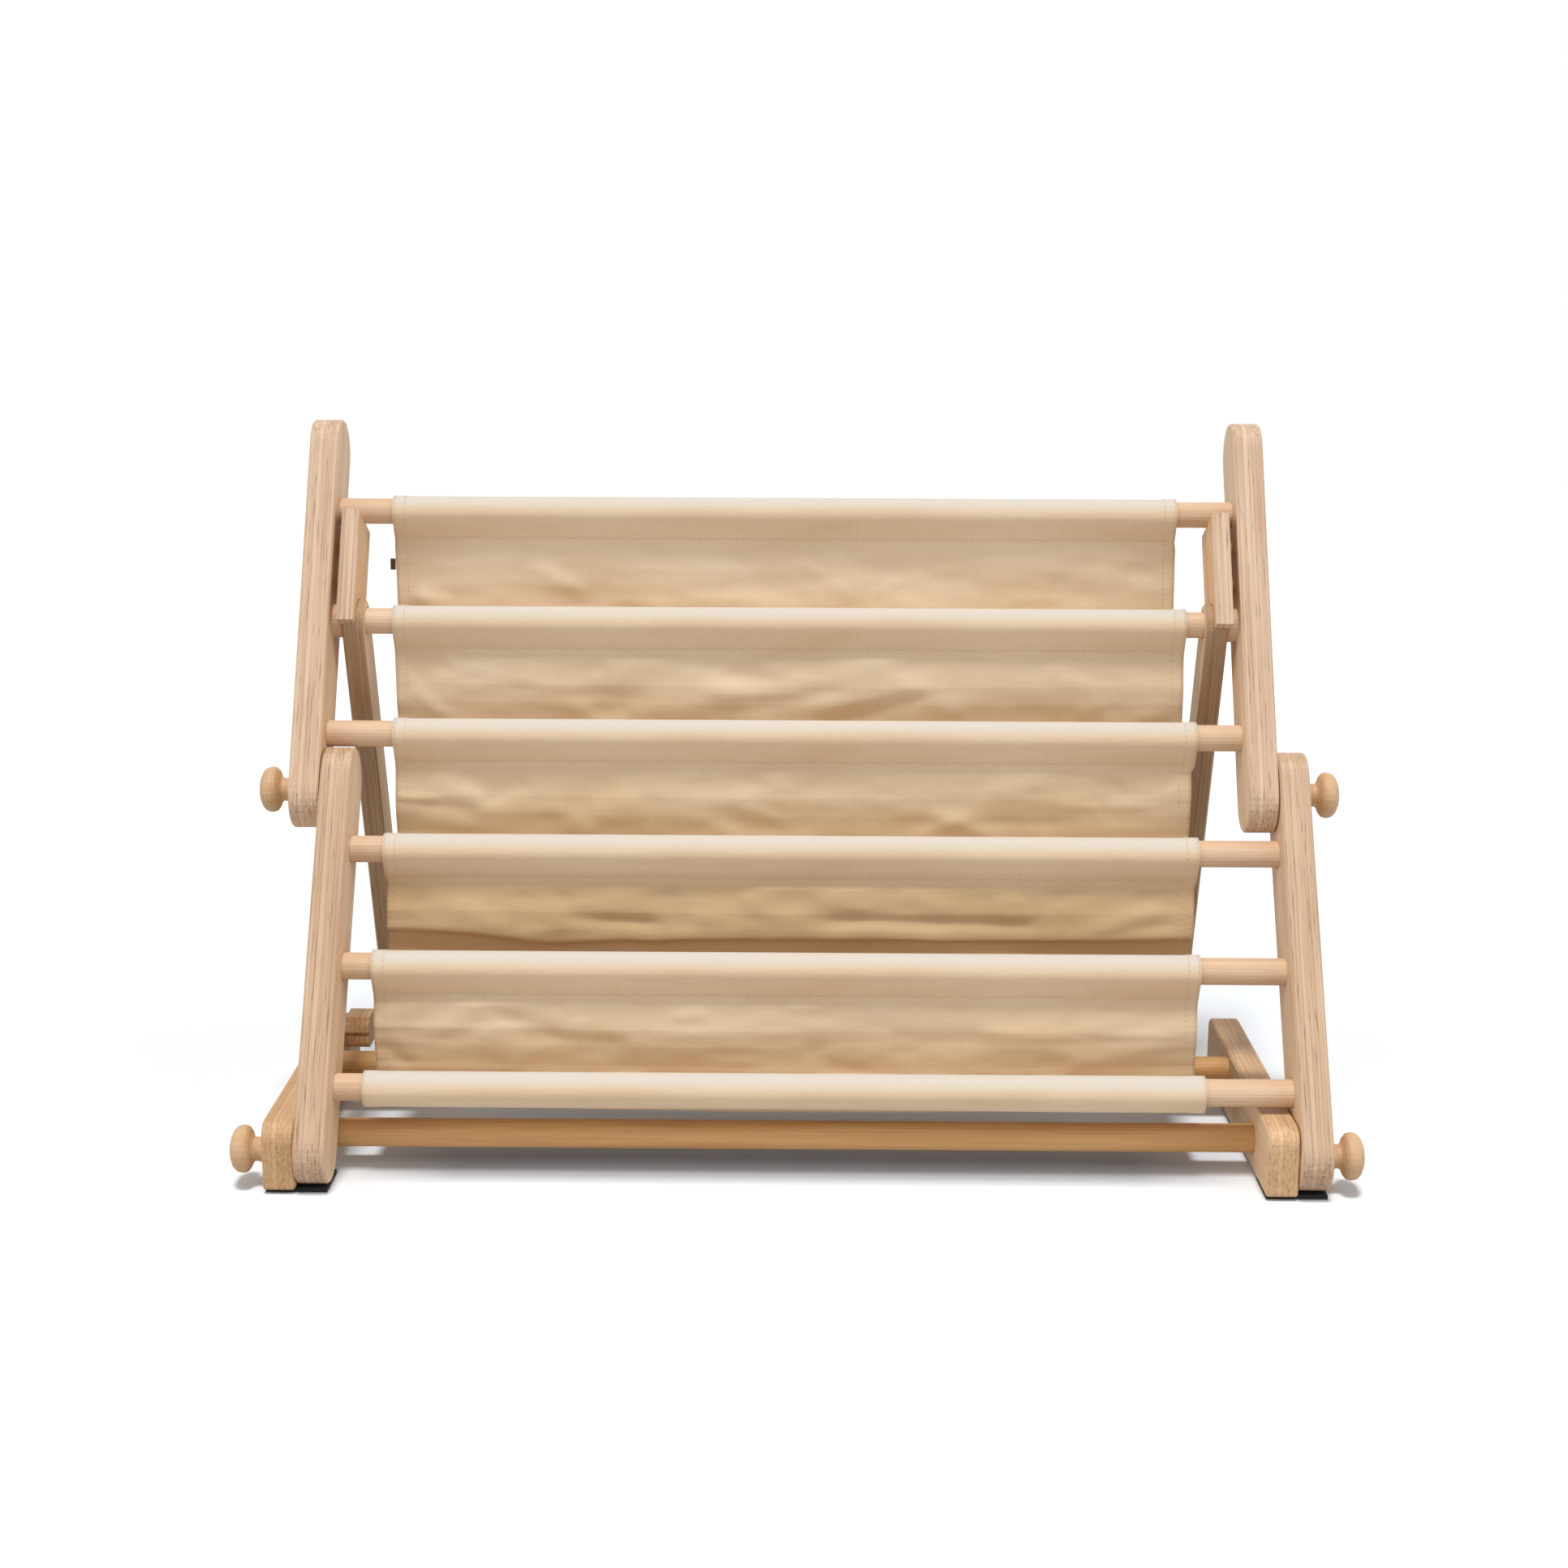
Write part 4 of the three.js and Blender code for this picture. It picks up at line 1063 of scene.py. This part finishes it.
# Points of the sheet's front: one line above the seam all across, and lines down both edges at
# each distance from them.
def stitchLines(x, y, z, seamRow):
    ny, nz, half = sheetNormals(x, y, z)
    frontY, frontZ = y + half * ny, z + half * nz
    distance = arcLength(y, z)[x.shape[0] // 2]
    row = int(np.searchsorted(distance, distance[seamRow] - stitch["aboveSeam"]))
    keep = slice(stitch["columnsClear"], -stitch["columnsClear"])
    lines = [np.stack([x[keep, row], frontY[keep, row], frontZ[keep, row]], axis=1)]
    firstRow = cloth["rows"]["sleeve"] // 2
    lastRow = seamRow + cloth["rows"]["sheet"] + stitch["rowsPastSheet"]
    for offset in stitch["fromEdge"]:
        for side, inwards in ((0, offset), (-1, -offset)):
            points = []
            for row in range(firstRow, lastRow):
                place = x[side, row] + inwards
                atY = np.interp(place, x[:, row], frontY[:, row])
                atZ = np.interp(place, x[:, row], frontZ[:, row])
                points.append([place, atY, atZ])
            lines.append(np.array(points))
    return lines


thread = plainMaterial("Thread")
stitchGroup = makeStitchGroup()
for index, pocket in enumerate(pockets):
    x, y, z, seamRow = panelSurface(index)
    canvas = canvasMaterial(f"Canvas_{index + 1}", pocket["tone"])
    panel = gridObject(f"Panel_{index + 1}", x, y, z, canvas)
    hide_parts(f"sleeve_{index + 1}", f"pocket_{index + 1}")
    lines = stitchLines(x, y, z, seamRow)
    stitches = stitchObject(f"Stitches_{index + 1}", lines, stitchGroup, thread)
    for obj in (panel, stitches):
        # The third pocket hangs from the upper frame and comes up behind the lower one's rung.
        if index == 2:
            upper, lower = rungs[index], rungs[index + 1]
            start = (0, upper[0], upper[1] - 20 * mm)
            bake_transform(obj)
        else:
            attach(obj, "upper_frame" if index < 2 else "lower_frame")
canvas = canvasMaterial("Canvas_6", (1, 1, 1))
sleeve = gridObject("Sleeve_6", *lastSleeve(), canvas, closedRows=True)
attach(sleeve, "lower_frame")
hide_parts("sleeve_6")
print("stage: sling and stitches")

dress("seam_tag", plainMaterial("Tape"))

# Floor, light and camera.

stageLooks = {
    "floorSize": 8,
    "floor": (0.9, 0.935, 0.975, 1.0),
    "floorBounce": (0.6, 0.605, 0.61, 1.0),
    # Under the shelf the floor has a painted shadow: how far it goes along X and Y, soft at its
    # edges.
    "underShadowTone": (0.46, 0.48, 0.52, 1.0),
    "underX": (0.28, 0.2),
    "underFront": (-0.128, -0.113),
    "underRear": (-0.04, -0.085),
    "ambient": 0.34,
    # Per lamp: strength, angle and where it shines from.
    "lamps": {
        "Top": (2.1, 11.0, (-0.02, -0.3, 1.0)),
        "Left": (0.76, 50.0, (-1.0, -0.5, 0.5)),
        "Right": (0.76, 50.0, (1.0, -0.5, 0.5)),
    },
}


def makeStage():
    bpy.ops.mesh.primitive_plane_add(size=stageLooks["floorSize"])
    floor = bpy.context.object
    floor.name = "Floor"
    material = bpy.data.materials.new("Floor")
    material.use_nodes = True
    tree = material.node_tree
    tree.nodes.clear()
    place = addNode(tree, "ShaderNodeTexCoord").outputs["Object"]
    parts = addNode(tree, "ShaderNodeSeparateXYZ", {0: place}).outputs
    # The painted shadow under the shelf, seen by the camera alone.
    shadowShare = remap(tree, calc(tree, "ABSOLUTE", parts[0]), *stageLooks["underX"])
    for edge in ("underFront", "underRear"):
        shadowShare = calc(tree, "MULTIPLY", shadowShare, remap(tree, parts[1], *stageLooks[edge]))
    seenColour = mixColours(tree, shadowShare, stageLooks["floor"], stageLooks["underShadowTone"])
    # The floor has these colours for the camera alone; it throws less light back at the shelf.
    camera = addNode(tree, "ShaderNodeLightPath").outputs["Is Camera Ray"]
    colour = mixColours(tree, camera, stageLooks["floorBounce"], seenColour)
    diffuse = addNode(tree, "ShaderNodeBsdfDiffuse", {"Color": colour})
    addNode(tree, "ShaderNodeOutputMaterial", {"Surface": diffuse.outputs[0]})
    floor.data.materials.append(material)

    world = bpy.data.worlds.new("Studio")
    bpy.context.scene.world = world
    world.use_nodes = True
    tree = world.node_tree
    tree.nodes.clear()
    path = addNode(tree, "ShaderNodeLightPath")
    seen = calc(tree, "MAXIMUM", path.outputs["Is Camera Ray"], path.outputs["Is Glossy Ray"])
    seen = calc(tree, "MAXIMUM", seen, path.outputs["Is Transmission Ray"])
    level = remap(tree, seen, 0.0, 1.0, stageLooks["ambient"], 1.0)
    sky = addNode(tree, "ShaderNodeBackground", {"Color": (1, 1, 1, 1), "Strength": level})
    addNode(tree, "ShaderNodeOutputWorld", {"Surface": sky.outputs[0]})

    for name, (strength, angle, shinesFrom) in stageLooks["lamps"].items():
        lamp = bpy.data.lights.new(name, "SUN")
        lamp.energy = strength
        lamp.angle = math.radians(angle)
        sun = bpy.data.objects.new(name, lamp)
        sun.rotation_mode = "QUATERNION"
        sun.rotation_quaternion = Vector(shinesFrom).to_track_quat("Z", "Y")
        bpy.context.scene.collection.objects.link(sun)


# The camera solved from the photograph: its place in metres and its angles in radians, both in
# the part's frame, and its lens and sensor in mm.
cameraLooks = {
    "place": (0.002866, -1.443410, 0.53112),
    "yaw": -0.0081755,
    "pitch": 0.2186152,
    "roll": 0.0040020,
    "lens": 55.473,
    "sensor": 36,
}


def makeCamera():
    yaw, pitch, roll = (cameraLooks[key] for key in ("yaw", "pitch", "roll"))
    level = math.cos(pitch)
    ahead = Vector((math.sin(yaw) * level, math.cos(yaw) * level, -math.sin(pitch)))
    right = Vector((math.cos(yaw), -math.sin(yaw), 0))
    up = right.cross(ahead)
    turnedRight = right * math.cos(roll) + up * math.sin(roll)
    turnedUp = up * math.cos(roll) - right * math.sin(roll)
    matrix = Matrix((turnedRight, turnedUp, -ahead)).transposed().to_4x4()
    matrix.translation = Vector(cameraLooks["place"])
    data = bpy.data.cameras.new("Camera")
    data.lens = cameraLooks["lens"]
    data.sensor_width = cameraLooks["sensor"]
    camera = bpy.data.objects.new("Camera", data)
    camera.matrix_world = matrix
    bpy.context.scene.collection.objects.link(camera)
    bpy.context.scene.camera = camera


makeStage()
makeCamera()
bpy.context.scene.view_settings.view_transform = "Standard"
print("stage: floor, light and camera")
